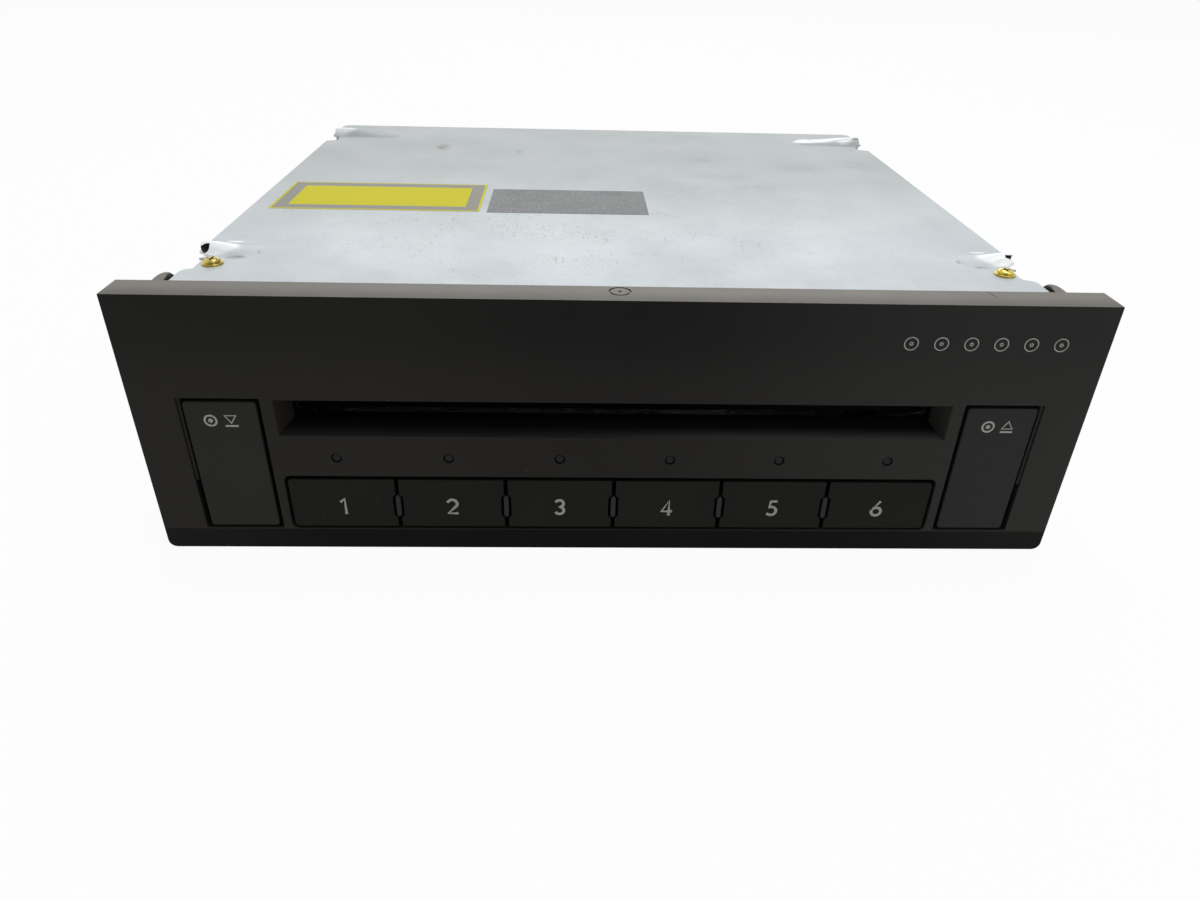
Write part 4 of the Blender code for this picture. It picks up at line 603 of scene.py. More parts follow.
@dataclass(frozen=True)
class PrintedInk:
    """Screen-printed ink: flat colour that is a little thin in places."""

    name: str
    colour: Colour
    thin: Colour
    roughness: float = 0.6
    specular: float = 0.12

    def material(self) -> bpy.types.Material:
        """Builds the material.

        Returns:
            The material.
        """
        recipe = Recipe(self.name)
        wear_and_painted_light = recipe.band(recipe.noise(900.0, 4.0, 0.7), 0.45, 0.75)
        base = recipe.blend(wear_and_painted_light, rgba(self.colour), rgba(self.thin))
        normal = recipe.relief(recipe.noise(3000.0, 2.0), 0.2, 0.00001)
        return recipe.finish(Base_Color=base, Roughness=self.roughness, Normal=normal,
                             Specular_IOR_Level=self.specular)


@dataclass(frozen=True)
class HatchedFoil:
    """Silver-grey label foil with a close, broken hatch."""

    name: str = "hatched_foil"
    colour: Colour = srgb(136, 138, 139)
    dark: Colour = srgb(112, 114, 115)

    def material(self) -> bpy.types.Material:
        """Builds the material.

        Returns:
            The material.
        """
        recipe = Recipe(self.name)
        hatch = recipe.noise(3200.0, 2.0, 0.5, (1.0, 0.25, 1.0))
        base = recipe.blend(recipe.band(hatch, 0.38, 0.66), rgba(self.colour), rgba(self.dark))
        patches = recipe.band(recipe.noise(160.0, 4.0, 0.6), 0.4, 0.7, 0.0, 0.6)
        base = recipe.blend(patches, base, rgba(self.dark))
        normal = recipe.relief(hatch, 0.2, 0.00002)
        return recipe.finish(Base_Color=base, Roughness=0.55, Normal=normal, Metallic=0.08,
                             Specular_IOR_Level=0.15)


@dataclass(frozen=True)
class ClearPlastic:
    """Clear or coated plastic for the light guide and the pickup's lens."""

    name: str
    colour: Colour
    transmission: float
    roughness: float = 0.12
    specular: float = 0.5

    def material(self) -> bpy.types.Material:
        """Builds the material.

        Returns:
            The material.
        """
        recipe = Recipe(self.name)
        cloud = recipe.noise(500.0, 3.0)
        rough = recipe.band(cloud, 0.3, 0.7, self.roughness, self.roughness + 0.08)
        deep = tuple(part * 0.85 for part in self.colour)
        base = recipe.blend(recipe.band(cloud, 0.4, 0.6), rgba(self.colour), rgba(deep))
        return recipe.finish(Base_Color=base, Roughness=rough, Transmission_Weight=self.transmission,
                             Specular_IOR_Level=self.specular)


# Black panel plastic with painted sheen towards both ends and the lower edge, and pale dust with painted
# sheen on its top faces.
PANEL_FINISH = MouldedPlastic(
    "panel_plastic_satin", srgb(12, 11, 10), specular=0.11, dust_and_sheen=1.0, wear_and_painted_light=srgb(33, 33, 32), painted_light_from=0.0,
    painted_light_to=0.070, left_painted_sheen=srgb(22, 21, 19), low_painted_sheen=srgb(60, 57, 54),
)
KEY_FINISH = MouldedPlastic("key_plastic_satin", srgb(19, 19, 17), roughness=0.40, specular=0.08)
# Large keys: the right one paler by painted sheen.
LARGE_KEY_FINISH = MouldedPlastic(
    "large_key_satin", srgb(30, 29, 27), roughness=0.38, specular=0.12, wear_and_painted_light=srgb(34, 34, 33), painted_light_from=0.0
)
# Painted shade: the panel's lower strip darker and less glossy than the panel, as if in the floor's shadow,
# less dark towards both ends.
LIP_PAINTED_SHADE_FINISH = MouldedPlastic(
    "panel_lip_painted_shade", srgb(14, 14, 13), specular=0.04, wear_and_painted_light=srgb(26, 26, 25), painted_light_from=0.055, painted_light_to=0.088,
    both_ends=True,
)
# Painted highlight on the right half of the slot's lower rounded edge, and painted shade that turns it black
# deeper into the slot.
SLOT_EDGE_PAINTED_LIGHT_FINISH = MouldedPlastic(
    "slot_edge_painted_light", srgb(24, 24, 23), specular=0.08, dust_amount=0.1, wear_and_painted_light=srgb(50, 49, 48),
    painted_light_from=-0.012, painted_light_to=0.03, painted_shade_depth=0.0030,
)
# Painted shade: the inside of the slot and its flap near black and without gloss, a little paler towards the
# right.
SLOT_PAINTED_SHADE_FINISH = MouldedPlastic(
    "slot_painted_shade", srgb(6, 6, 7), roughness=0.9, specular=0.0, dust_amount=0.02, wear_and_painted_light=srgb(15, 16, 16),
    painted_light_from=0.0, painted_light_to=0.05,
)
FRAME_FINISH = MouldedPlastic("frame_plastic_dark", srgb(36, 36, 37), roughness=0.55)
COVER_FINISH = ZincSheet("zinc_cover", stains=COVER_STAINS, painted_bead_light=PAINTED_BEAD_LIGHT)
TUB_FINISH = ZincSheet("zinc_tub")
INK_FINISH = PrintedInk("legend_ink", srgb(158, 156, 153), srgb(134, 132, 130))
LABEL_YELLOW = PrintedInk("label_yellow", srgb(204, 196, 18), srgb(197, 188, 24), 0.5, 0.05)
LABEL_GREY = PrintedInk("label_grey", srgb(141, 140, 132), srgb(132, 131, 124), 0.5)
# Painted shade: the insides of the beads' round openings darker than the zinc.
MOUTH_PAINTED_SHADE_FINISH = PrintedInk("bead_grime", srgb(62, 62, 58), srgb(48, 48, 45))

SLOT_FINISHES: dict[Slot, Finish] = {
    Slot.PANEL: PANEL_FINISH,
    Slot.KEY: KEY_FINISH,
    Slot.FRAME: FRAME_FINISH,
    Slot.LIGHT: ClearPlastic("light_guide_clear", srgb(24, 25, 25), 0.05, 0.4, 0.12),
    Slot.SILICONE: SoftPolymer("silicone_grey", srgb(160, 162, 164), srgb(148, 150, 152), 0.65, 0.1),
    Slot.BOARD: CircuitBoard(),
    Slot.SHEET: TUB_FINISH,
    Slot.YELLOW_ZINC: PlatedMetal("yellow_zinc_plate", srgb(214, 194, 92), srgb(150, 132, 72), 0.16),
    Slot.STEEL: PlatedMetal("bright_steel", srgb(196, 197, 199), srgb(176, 178, 181)),
    Slot.NATURAL: SoftPolymer("natural_plastic", srgb(227, 225, 215), srgb(222, 220, 210), 0.45, 0.15),
    Slot.RUBBER: SoftPolymer("black_rubber", srgb(30, 30, 30), srgb(38, 38, 38), 0.75),
    Slot.MOTOR: PlatedMetal("motor_can_plate", srgb(206, 205, 200), srgb(184, 183, 178), 0.32),
    Slot.LENS: ClearPlastic("coated_lens", srgb(150, 170, 214), 0.6, 0.04),
}
# The slot's flap takes the painted shade of the slot.
NODE_FINISHES: dict[str, Finish] = {"slot_flap": SLOT_PAINTED_SHADE_FINISH}


class Wardrobe:
    """Makes each finish once and hands its material out."""

    def __init__(self) -> None:
        """Starts with no material made."""
        self.made: dict[str, bpy.types.Material] = {}

    def take(self, finish: Finish) -> bpy.types.Material:
        """Gives the finish's material, made at its first use.

        Args:
            finish: The finish.

        Returns:
            Its material.
        """
        if finish.name not in self.made:
            self.made[finish.name] = finish.material()
        return self.made[finish.name]


@contextmanager
def edit(obj: bpy.types.Object, mode: str = "FACE") -> Iterator[bmesh.types.BMesh]:
    """Edit mode on one piece alone, with nothing selected.

    Args:
        obj: The piece to edit.
        mode: What is selected, VERT, EDGE or FACE.

    Yields:
        The piece's mesh, to select in.
    """
    focus(obj)
    bpy.ops.object.mode_set(mode="EDIT")
    bpy.ops.mesh.select_mode(type=mode)
    bpy.ops.mesh.select_all(action="DESELECT")
    mesh = bmesh.from_edit_mesh(obj.data)
    yield mesh
    bpy.ops.object.mode_set(mode="OBJECT")


def focus(obj: bpy.types.Object) -> None:
    """Selects one object alone and makes it active.

    Args:
        obj: The object.
    """
    bpy.ops.object.select_all(action="DESELECT")
    obj.select_set(True)
    bpy.context.view_layer.objects.active = obj


class Workpiece:
    """One new piece on the bench: a primitive or a copy of a solid that is then shaped."""

    def __init__(self, obj: bpy.types.Object, name: str) -> None:
        """Takes the object and names it.

        Args:
            obj: Its object.
            name: Name of the piece.
        """
        self.obj = obj
        obj.name = name
        obj.data.name = name

    @classmethod
    def block(cls, name: str, low: Point, high: Point, turn: float = 0.0) -> Workpiece:
        """A box between two corners, turned about its upright middle line.

        Args:
            name: Name of the piece.
            low: Lowest corner before the turn.
            high: Highest corner before the turn.
            turn: Turn about the upright line, in radians.

        Returns:
            The piece.
        """
        bpy.ops.object.select_all(action="DESELECT")
        middle = [(a + b) / 2 for a, b in zip(low, high)]
        size = [b - a for a, b in zip(low, high)]
        bpy.ops.mesh.primitive_cube_add(size=1, location=middle, scale=size, rotation=(0, 0, turn))
        return cls(bpy.context.object, name).settle()

    @classmethod
    def rod(cls, name: str, foot: Point, radius: float, length: float,
            axis: str = "Z", sides: int = 32, turn: float = 0.0) -> Workpiece:
        """A round bar.

        Args:
            name: Name of the piece.
            foot: Centre of the end with the lowest coordinate.
            radius: Radius of the bar.
            length: Length along the axis.
            axis: X, Y or Z.
            sides: Number of sides.
            turn: Turn about the upright line through the foot, in radians.

        Returns:
            The piece.
        """
        turns = {"X": (0, pi / 2, turn), "Y": (pi / 2, 0, turn), "Z": (0, 0, turn)}
        run = Vector([length / 2 if letter == axis else 0.0 for letter in "XYZ"])
        middle = Vector(foot) + Matrix.Rotation(turn, 3, "Z") @ run
        bpy.ops.object.select_all(action="DESELECT")
        bpy.ops.mesh.primitive_cylinder_add(
            vertices=sides, radius=radius, depth=length, location=middle, rotation=turns[axis]
        )
        return cls(bpy.context.object, name).settle()

    @classmethod
    def grid(cls, name: str, low: tuple[float, float], high: tuple[float, float], level: float,
             cell: float, rise: Callable[[float, float], float], base: float) -> Workpiece:
        """A solid with a flat base and a top that is raised point by point.

        Args:
            name: Name of the piece.
            low: Lowest X and Y.
            high: Highest X and Y.
            level: Height of the top before it is raised.
            cell: Size of one face.
            rise: Gives the rise at a world X and Y.
            base: Height of the flat base.

        Returns:
            The piece.
        """
        size = (high[0] - low[0], high[1] - low[1], 1)
        middle = ((low[0] + high[0]) / 2, (low[1] + high[1]) / 2, level)
        steps = [max(2, round(length / cell)) for length in size[:2]]
        bpy.ops.object.select_all(action="DESELECT")
        bpy.ops.mesh.primitive_grid_add(
            x_subdivisions=steps[0], y_subdivisions=steps[1], size=1, location=middle
        )
        bpy.context.object.scale = size
        piece = cls(bpy.context.object, name).settle()
        for vertex in piece.obj.data.vertices:
            vertex.co.z += rise(vertex.co.x, vertex.co.y)
        with edit(piece.obj) as mesh:
            bpy.ops.mesh.select_all(action="SELECT")
            bpy.ops.mesh.extrude_region_move()
            for vertex in mesh.verts:
                if vertex.select:
                    vertex.co.z = base
            bmesh.update_edit_mesh(piece.obj.data)
            bpy.ops.mesh.select_all(action="SELECT")
            bpy.ops.mesh.normals_make_consistent(inside=False)
        return piece

    @classmethod
    def strokes(cls, name: str, paths: Sequence[Path2D], place: Point, height: float,
                weight: float, thickness: float) -> Workpiece:
        """Printed line work that faces the front of the object.

        Args:
            name: Name of the piece.
            paths: Lines in units of the height, from the lower left corner.
            place: Lower left corner.
            height: Height of one unit.
            weight: Width of the lines.
            thickness: Thickness of the ink.

        Returns:
            The piece.
        """
        curve = bpy.data.curves.new(name, "CURVE")
        curve.dimensions = "3D"
        curve.bevel_depth, curve.bevel_resolution, curve.use_fill_caps = weight / 2, 2, True
        for path in paths:
            closed = path[0] == path[-1]
            points = path[:-1] if closed else path
            spline = curve.splines.new("POLY")
            spline.points.add(len(points) - 1)
            spline.use_cyclic_u = closed
            for point, (x, z) in zip(spline.points, points):
                point.co = (x * height, 0, z * height, 1)
        obj = bpy.data.objects.new(name, curve)
        bpy.context.scene.collection.objects.link(obj)
        focus(obj)
        bpy.ops.object.convert(target="MESH")
        obj = bpy.context.object
        obj.scale = (1, thickness / weight, 1)
        obj.location = place
        return cls(obj, name).settle()

    @classmethod
    def copy_of(cls, name: str, node: bpy.types.Object) -> Workpiece:
        """A copy of a solid, with its triangles merged into whole faces.

        Args:
            name: Name of the piece.
            node: Object of the solid.

        Returns:
            The piece.
        """
        copy = node.copy()
        copy.data = node.data.copy()
        copy.parent = None
        for key in list(copy.keys()):
            del copy[key]
        bpy.context.scene.collection.objects.link(copy)
        piece = cls(copy, name)
        with edit(copy, "VERT"):
            bpy.ops.mesh.select_all(action="SELECT")
            bpy.ops.mesh.remove_doubles(threshold=TINY / 5)
            bpy.ops.mesh.dissolve_limited(angle_limit=radians(0.4))
            bpy.ops.mesh.customdata_custom_splitnormals_clear()
        return piece

    def settle(self) -> Workpiece:
        """Puts the piece's place, turn and scale into its mesh.

        Returns:
            The piece itself.
        """
        focus(self.obj)
        bpy.ops.object.transform_apply(location=True, rotation=True, scale=True)
        return self

    def combine(self, operation: str, others: Sequence[Workpiece]) -> Workpiece:
        """Joins the other pieces to this one or takes them out of it, and removes them.

        Args:
            operation: UNION or DIFFERENCE.
            others: The other pieces.

        Returns:
            The piece itself.
        """
        for other in others:
            focus(self.obj)
            modifier = self.obj.modifiers.new("combine", "BOOLEAN")
            modifier.operation, modifier.solver, modifier.object = operation, "EXACT", other.obj
            bpy.ops.object.modifier_apply(modifier=modifier.name)
            bpy.data.objects.remove(other.obj)
        return self

    def cut(self, *cutters: Workpiece) -> Workpiece:
        """Takes the cutters out of the piece."""
        return self.combine("DIFFERENCE", cutters)

    def join(self, *others: Workpiece) -> Workpiece:
        """Makes the piece one solid with the others."""
        return self.combine("UNION", others)

    def bevel_edges(self, test: EdgeTest, width: float, steps: int = 2) -> Workpiece:
        """Rounds the edges that the test picks by their two ends.

        Args:
            test: Picks an edge.
            width: Width of the rounding.
            steps: Number of faces across it.

        Returns:
            The piece itself.
        """
        with edit(self.obj, "EDGE") as mesh:
            for line in mesh.edges:
                line.select_set(test(line.verts[0].co, line.verts[1].co))
            bmesh.update_edit_mesh(self.obj.data)
            bpy.ops.mesh.bevel(offset=width, segments=steps, profile=0.5, clamp_overlap=True)
        return self

    def inset_faces(self, test: FaceTest, width: float) -> Workpiece:
        """Insets the faces that the test picks by centre and normal.

        Args:
            test: Picks a face.
            width: Width of the inset.

        Returns:
            The piece itself.
        """
        with edit(self.obj) as mesh:
            for face in mesh.faces:
                face.select_set(test(face.calc_center_median(), face.normal))
            bmesh.update_edit_mesh(self.obj.data)
            bpy.ops.mesh.inset(thickness=width)
        return self

    def smooth(self, angle: float = 35.0) -> Workpiece:
        """Smooth shading across edges flatter than the angle, with large faces kept flat.

        Args:
            angle: Largest smooth angle, in degrees.

        Returns:
            The piece itself.
        """
        focus(self.obj)
        bpy.ops.object.shade_smooth_by_angle(angle=radians(angle))
        modifier = self.obj.modifiers.new("flat_faces", "WEIGHTED_NORMAL")
        modifier.keep_sharp = True
        bpy.ops.object.modifier_apply(modifier=modifier.name)
        return self

    def dress(self, material: bpy.types.Material, slot: Slot, body: str, *nodes: str) -> Workpiece:
        """Gives the piece its material, body and the solids that it stands for.

        Args:
            material: Its material.
            slot: Material slot of the record; not used.
            body: Body that it rides on.
            *nodes: Solids that it stands for.

        Returns:
            The piece itself.
        """
        if not self.obj.data.materials:
            self.obj.data.materials.append(material)
        else:
            self.obj.data.materials[0] = material
        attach(self.obj, body)
        if nodes:
            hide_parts(*nodes)
        LOG.info("%s on %s", self.obj.name, body)
        return self

    def second_finish(self, material: bpy.types.Material, test: FaceTest) -> Workpiece:
        """Gives the faces that the test picks by centre and normal another material.

        Args:
            material: The other material.
            test: Picks a face.

        Returns:
            The piece itself.
        """
        data = self.obj.data
        data.materials.append(material)
        picked = [face for face in data.polygons if test(face.center, face.normal)]
        for face in picked:
            face.material_index = len(data.materials) - 1
        LOG.info("%s: %d faces in %s", self.obj.name, len(picked), material.name)
        return self


def near(value: float, target: float, reach: float = TINY * 2) -> bool:
    """Tells whether two lengths agree."""
    return abs(value - target) <= reach


def bow(centre: tuple[float, float], radius: float, start: float, end: float, steps: int = 16) -> Path2D:
    """Points on an arc.

    Args:
        centre: Middle of the arc.
        radius: Radius of the arc.
        start: First angle in degrees, counter-clockwise from the right.
        end: Last angle in degrees.
        steps: Number of straight steps.

    Returns:
        The points, both ends included.
    """
    angles = [radians(start + (end - start) * step / steps) for step in range(steps + 1)]
    return [(centre[0] + radius * cos(a), centre[1] + radius * sin(a)) for a in angles]


def ring(centre: tuple[float, float], radius: float) -> Path2D:
    """A closed circle, whose last point is its first."""
    points = bow(centre, radius, 0, 360, 24)
    return [*points[:-1], points[0]]


def triangle(left: float, low: float, high: float) -> Path2D:
    """A closed triangle with its tip at the high level, which may be below the low one."""
    width = abs(high - low) * 1.3
    return [(left, low), (left + width, low), (left + width / 2, high), (left, low)]


DIGIT_MIDDLE = 0.30
DIGITS: dict[int, list[Path2D]] = {
    1: [[(0.13, 0.74), (0.36, 0.95), (0.36, 0.0)]],
    2: [[*bow((0.30, 0.68), 0.25, 165, -38), (0.06, 0.07), (0.58, 0.07)]],
    3: [[*bow((0.28, 0.72), 0.21, 155, -90), *bow((0.28, 0.285), 0.225, 90, -155)[1:]]],
    4: [[(0.44, 0.0), (0.44, 0.93), (0.05, 0.26), (0.62, 0.26)]],
    5: [[(0.55, 0.93), (0.21, 0.93), *bow((0.28, 0.32), 0.26, 118, -145)]],
    6: [[(0.45, 0.97), *bow((0.30, 0.31), 0.25, 152, -205, 28)]],
}
LEGEND_MIDDLE = 1.28
LEGEND_DISC = [ring((0.46, 0.5), 0.42), ring((0.46, 0.5), 0.10)]
LEGENDS: dict[str, list[Path2D]] = {
    "load_key": [*LEGEND_DISC, triangle(1.52, 0.92, 0.30), [(1.46, 0.07), (2.40, 0.07)]],
    "eject_key": [*LEGEND_DISC, triangle(1.52, 0.34, 0.96), [(1.46, 0.07), (2.40, 0.07)]],
}


@dataclass
class FrontPanel:
    """The moulded front with rounded edges, ledges beside the large keys and its small marks."""

    face: float = DEPTH_ORIGIN
    half_width: float = 0.0940
    height: float = 0.0566
    depth: float = 0.0074
    outer_round: float = 0.00028
    opening_round: float = 0.00018
    corner: float = 0.0024
    corner_share: float = 0.70
    lip_height: float = 0.0048
    lip_setback: float = 0.00006
    clip_side: float = 0.0887
    clip_low: float = 0.0490
    clip_rise: float = 0.0011
    clip_round: float = 0.00085
    lip_round: float = 0.00085
    slot_half: float = 0.0643
    funnel_half: float = 0.0666
    funnel_depth: float = 0.0042
    slot_low: float = 0.0275
    slot_floor: float = 0.0296
    slot_high: float = 0.0354
    slot_reach: float = 0.0003
    lip_reach: float = 0.0002
    recess_corner: float = 0.0009
    recess_inner: float = 0.0691
    recess_low: float = 0.0051
    ledge_depth: float = 0.00040
    ledge_inner: float = 0.0845
    ledge_outer: float = 0.0851
    ledge_low: float = 0.0168
    ledge_high: float = 0.0357
    opening_side: float = 0.0005
    opening_low: float = 0.00485
    opening_high: float = 0.0363
    print_left: float = 0.0538
    print_low: float = 0.0472
    print_height: float = 0.0031
    print_pitch: float = 1.87
    print_count: int = 6
    print_rings: tuple[float, float] = (0.42, 0.09)
    print_weight: float = 0.00034
    print_sunk: float = 0.000015
    ink: float = 0.00004
    mark_depth: float = 0.0048
    mark_radius: float = 0.00215
    mark_groove: float = 0.00024
    scratch_low: tuple[float, float] = (0.07123, 0.0038)
    scratch_high: tuple[float, float] = (0.07137, 0.0073)
    scratch_turn: float = radians(10)

    def build(self, frame: dict, wardrobe: Wardrobe) -> None:
        """Makes the panel and its marks.

        Args:
            frame: The loaded frame.
            wardrobe: Gives the materials.
        """
        panel = Workpiece.copy_of("panel_moulding", frame["nodes"]["front_panel"])
        self.drop_lip(panel)
        panel.cut(*self.ledges(), *self.slot_ends(), *self.marks())
        panel.bevel_edges(self.is_recess_corner, self.recess_corner, 4)
        panel.bevel_edges(self.is_clip_edge, self.clip_round, 4)
        panel.bevel_edges(self.is_outer, self.outer_round, 3)
        panel.bevel_edges(self.is_opening, self.opening_round, 2)
        panel.bevel_edges(self.is_funnel_lip, self.lip_round, 5)
        panel.smooth()
        panel.dress(wardrobe.take(PANEL_FINISH), Slot.PANEL, "housing", "front_panel")
        # Painted shade inside the slot.
        panel.second_finish(wardrobe.take(SLOT_PAINTED_SHADE_FINISH), self.in_slot)
        # Painted shade on the panel's lower strip.
        panel.second_finish(wardrobe.take(LIP_PAINTED_SHADE_FINISH), self.on_lip)
        # Painted highlight and painted shade on the slot's lower edge.
        panel.second_finish(wardrobe.take(SLOT_EDGE_PAINTED_LIGHT_FINISH), self.on_slot_edge)
        middles = [(0.5 + number * self.print_pitch, 0.5) for number in range(self.print_count)]
        paths = [ring(middle, radius) for radius in self.print_rings for middle in middles]
        place = (self.print_left, self.face + self.print_sunk, self.print_low)
        symbols = Workpiece.strokes(
            "panel_disc_symbols", paths, place, self.print_height, self.print_weight, self.ink
        )
        symbols.dress(wardrobe.take(INK_FINISH), Slot.LIGHT, "housing")

    def drop_lip(self, panel: Workpiece) -> None:
        """Tightens the two lower corners, brings the lower edge forward and lifts the clips' tips.

        Args:
            panel: The copied panel.
        """
        reach = self.corner + TINY
        behind = self.face + self.depth * 1.5
        for vertex in panel.obj.data.vertices:
            point = vertex.co
            if abs(point.x) > self.clip_side and point.y > behind and point.z > self.clip_low:
                point.z += self.clip_rise
            inset = self.half_width - abs(point.x)
            on_slope = point.y < self.face + self.corner and point.z < self.lip_height - TINY
            if inset < reach and point.z < reach:
                across, up = self.corner - inset, self.corner - point.z
                if near((across * across + up * up) ** 0.5, self.corner, TINY * 4):
                    point.x = (self.half_width - inset * self.corner_share) * (1 if point.x > 0 else -1)
                    point.z *= self.corner_share
            if on_slope:
                point.y = self.face + self.lip_setback * (1 - point.z / self.lip_height)

    def slot_ends(self) -> list[Workpiece]:
        """Cutters that steepen the funnel's two ends and widen the slot to its full width.

        Returns:
            The cutters.
        """
        cutters = []
        proud = self.funnel_depth / 8
        for side in (-1, 1):
            near_x, far_x = sorted((side * self.slot_half * 0.9, side * self.slot_half))
            back = self.face + self.funnel_depth
            funnel = Workpiece.block(
                "funnel_cutter", (near_x, self.face - proud, self.slot_floor), (far_x, back, self.slot_high)
            )
            for vertex in funnel.obj.data.vertices:
                if vertex.co.y < self.face and near(abs(vertex.co.x), self.slot_half):
                    flare = (self.funnel_half - self.slot_half) / self.funnel_depth
                    vertex.co.x += side * flare * (self.funnel_depth + proud)
                if vertex.co.y < self.face and near(vertex.co.z, self.slot_floor):
                    drop = (self.slot_floor - self.slot_low) / self.funnel_depth
                    vertex.co.z -= drop * (self.funnel_depth + proud)
            low = (near_x, back - TINY, self.slot_floor)
            high = (far_x, self.face + self.depth + proud, self.slot_high)
            cutters += [funnel, Workpiece.block("slot_cutter", low, high)]
        return cutters

    def ledges(self) -> list[Workpiece]:
        """Cutters that lower the strip beside each large key's upper part.

        Returns:
            The cutters.
        """
        cutters = []
        for side in (-1, 1):
            near_x, far_x = sorted((side * self.ledge_inner, side * self.ledge_outer))
            low = (near_x - TINY * (side < 0), self.face - self.ledge_depth, self.ledge_low)
            high = (far_x, self.face + self.ledge_depth, self.ledge_high)
            cutters.append(Workpiece.block("ledge_cutter", low, high))
        return cutters

    def marks(self) -> list[Workpiece]:
        """Cutters for the round moulding mark, its dot and a short scratch in the panel's top.

        Returns:
            The cutters.
        """
        place = (0.0, self.face + self.mark_depth, self.height - self.mark_groove)
        groove = Workpiece.rod("mark_cutter", place, self.mark_radius, self.mark_groove * 2, sides=48)
        core = Workpiece.rod(
            "mark_core", (place[0], place[1], place[2] - TINY), self.mark_radius - self.mark_groove * 1.6,
            self.mark_groove * 3, sides=48,
        )
        groove.cut(core)
        dot = Workpiece.rod("dot_cutter", place, self.mark_groove * 1.4, self.mark_groove * 2, sides=12)
        low = (self.scratch_low[0], self.face + self.scratch_low[1], self.height - self.mark_groove / 2)
        high = (self.scratch_high[0], self.face + self.scratch_high[1], self.height + self.mark_groove)
        return [groove, dot, Workpiece.block("scratch_cutter", low, high, self.scratch_turn)]

    def is_outer(self, a: Vector, b: Vector) -> bool:
        """Picks the outline of the face and the two upper corners.

        Args:
            a: One end of the edge.
            b: Its other end.

        Returns:
            Whether the edge is picked.
        """
        if near(abs(a.x), self.half_width) and near(a.x, b.x) and near(a.z, b.z) and near(a.z, self.height):
            return True
        if not (near(a.y, self.face) and near(b.y, self.face)):
            return False
        top = near(a.z, self.height) and near(b.z, self.height)
        side = near(abs(a.x), self.half_width) and near(a.x, b.x)
        return top or side

    def is_clip_edge(self, a: Vector, b: Vector) -> bool:
        """Picks the long upper edges of the clip arms, around their rear corners.

        Args:
            a: One end of the edge.
            b: Its other end.

        Returns:
            Whether the edge is picked.
        """
        beside = abs(a.x) > self.clip_side and near(a.x, b.x)
        front, rear = sorted((a.y - self.face, b.y - self.face))
        behind = front > self.depth - TINY and rear > self.depth * 1.5
        return beside and behind and min(a.z, b.z) > self.clip_low

    def is_recess_corner(self, a: Vector, b: Vector) -> bool:
        """Picks the corners of the large keys' openings, front to back.

        Args:
            a: One end of the edge.
            b: Its other end.

        Returns:
            Whether the edge is picked.
        """
        along = near(a.x, b.x) and near(a.z, b.z) and near(min(a.y, b.y), self.face)
        side = any(near(abs(a.x), x) for x in (self.recess_inner, self.ledge_inner, self.ledge_outer))
        return along and side and (near(a.z, self.recess_low) or near(a.z, self.ledge_high))

    def is_opening(self, a: Vector, b: Vector) -> bool:
        """Picks the rims of all openings in the face.

        Args:
            a: One end of the edge.
            b: Its other end.

        Returns:
            Whether the edge is picked.
        """
        if not (near(a.y, self.face) and near(b.y, self.face)):
            return False
        beside = max(abs(a.x), abs(b.x)) < self.ledge_outer + self.opening_side
        level = min(a.z, b.z) > self.opening_low and max(a.z, b.z) < self.opening_high
        return beside and level and not self.is_funnel_lip(a, b)

    def is_funnel_lip(self, a: Vector, b: Vector) -> bool:
        """Picks the lower edge of the slot's funnel."""
        level = near(a.z, self.slot_low, self.lip_reach) and near(b.z, self.slot_low, self.lip_reach)
        return level and near(a.y, self.face) and near(b.y, self.face) and abs(a.x - b.x) > self.slot_half

    def in_slot(self, centre: Vector, normal: Vector) -> bool:
        """Tells whether a face lies inside the slot or on its lower bevel.

        Args:
            centre: Middle of the face.
            normal: Its normal.

        Returns:
            Whether the face is picked.
        """
        level = self.slot_low < centre.z < self.slot_high + self.slot_reach
        deep = centre.y > self.face + self.lip_round
        inside = level and deep and abs(centre.x) < self.funnel_half
        return inside and (abs(normal.x) < 0.3 or centre.y > self.face + self.funnel_depth - TINY)

    def on_slot_edge(self, centre: Vector, normal: Vector) -> bool:
        """Tells whether a face belongs to the funnel's lower slope or to its rounded edge.

        Args:
            centre: Middle of the face.
            normal: Its normal.

        Returns:
            Whether the face is picked.
        """
        level = self.slot_low - self.lip_round < centre.z < self.slot_floor + TINY
        front = centre.y < self.face + self.funnel_depth
        facing = normal.z > 0.15 and abs(normal.x) < 0.2
        return level and front and facing and abs(centre.x) < self.funnel_half

    def on_lip(self, centre: Vector, normal: Vector) -> bool:
        """Tells whether a face belongs to the strip along the panel's lower edge."""
        return normal.y < -0.5 and centre.z < self.lip_height - TINY and centre.y < self.face + self.corner


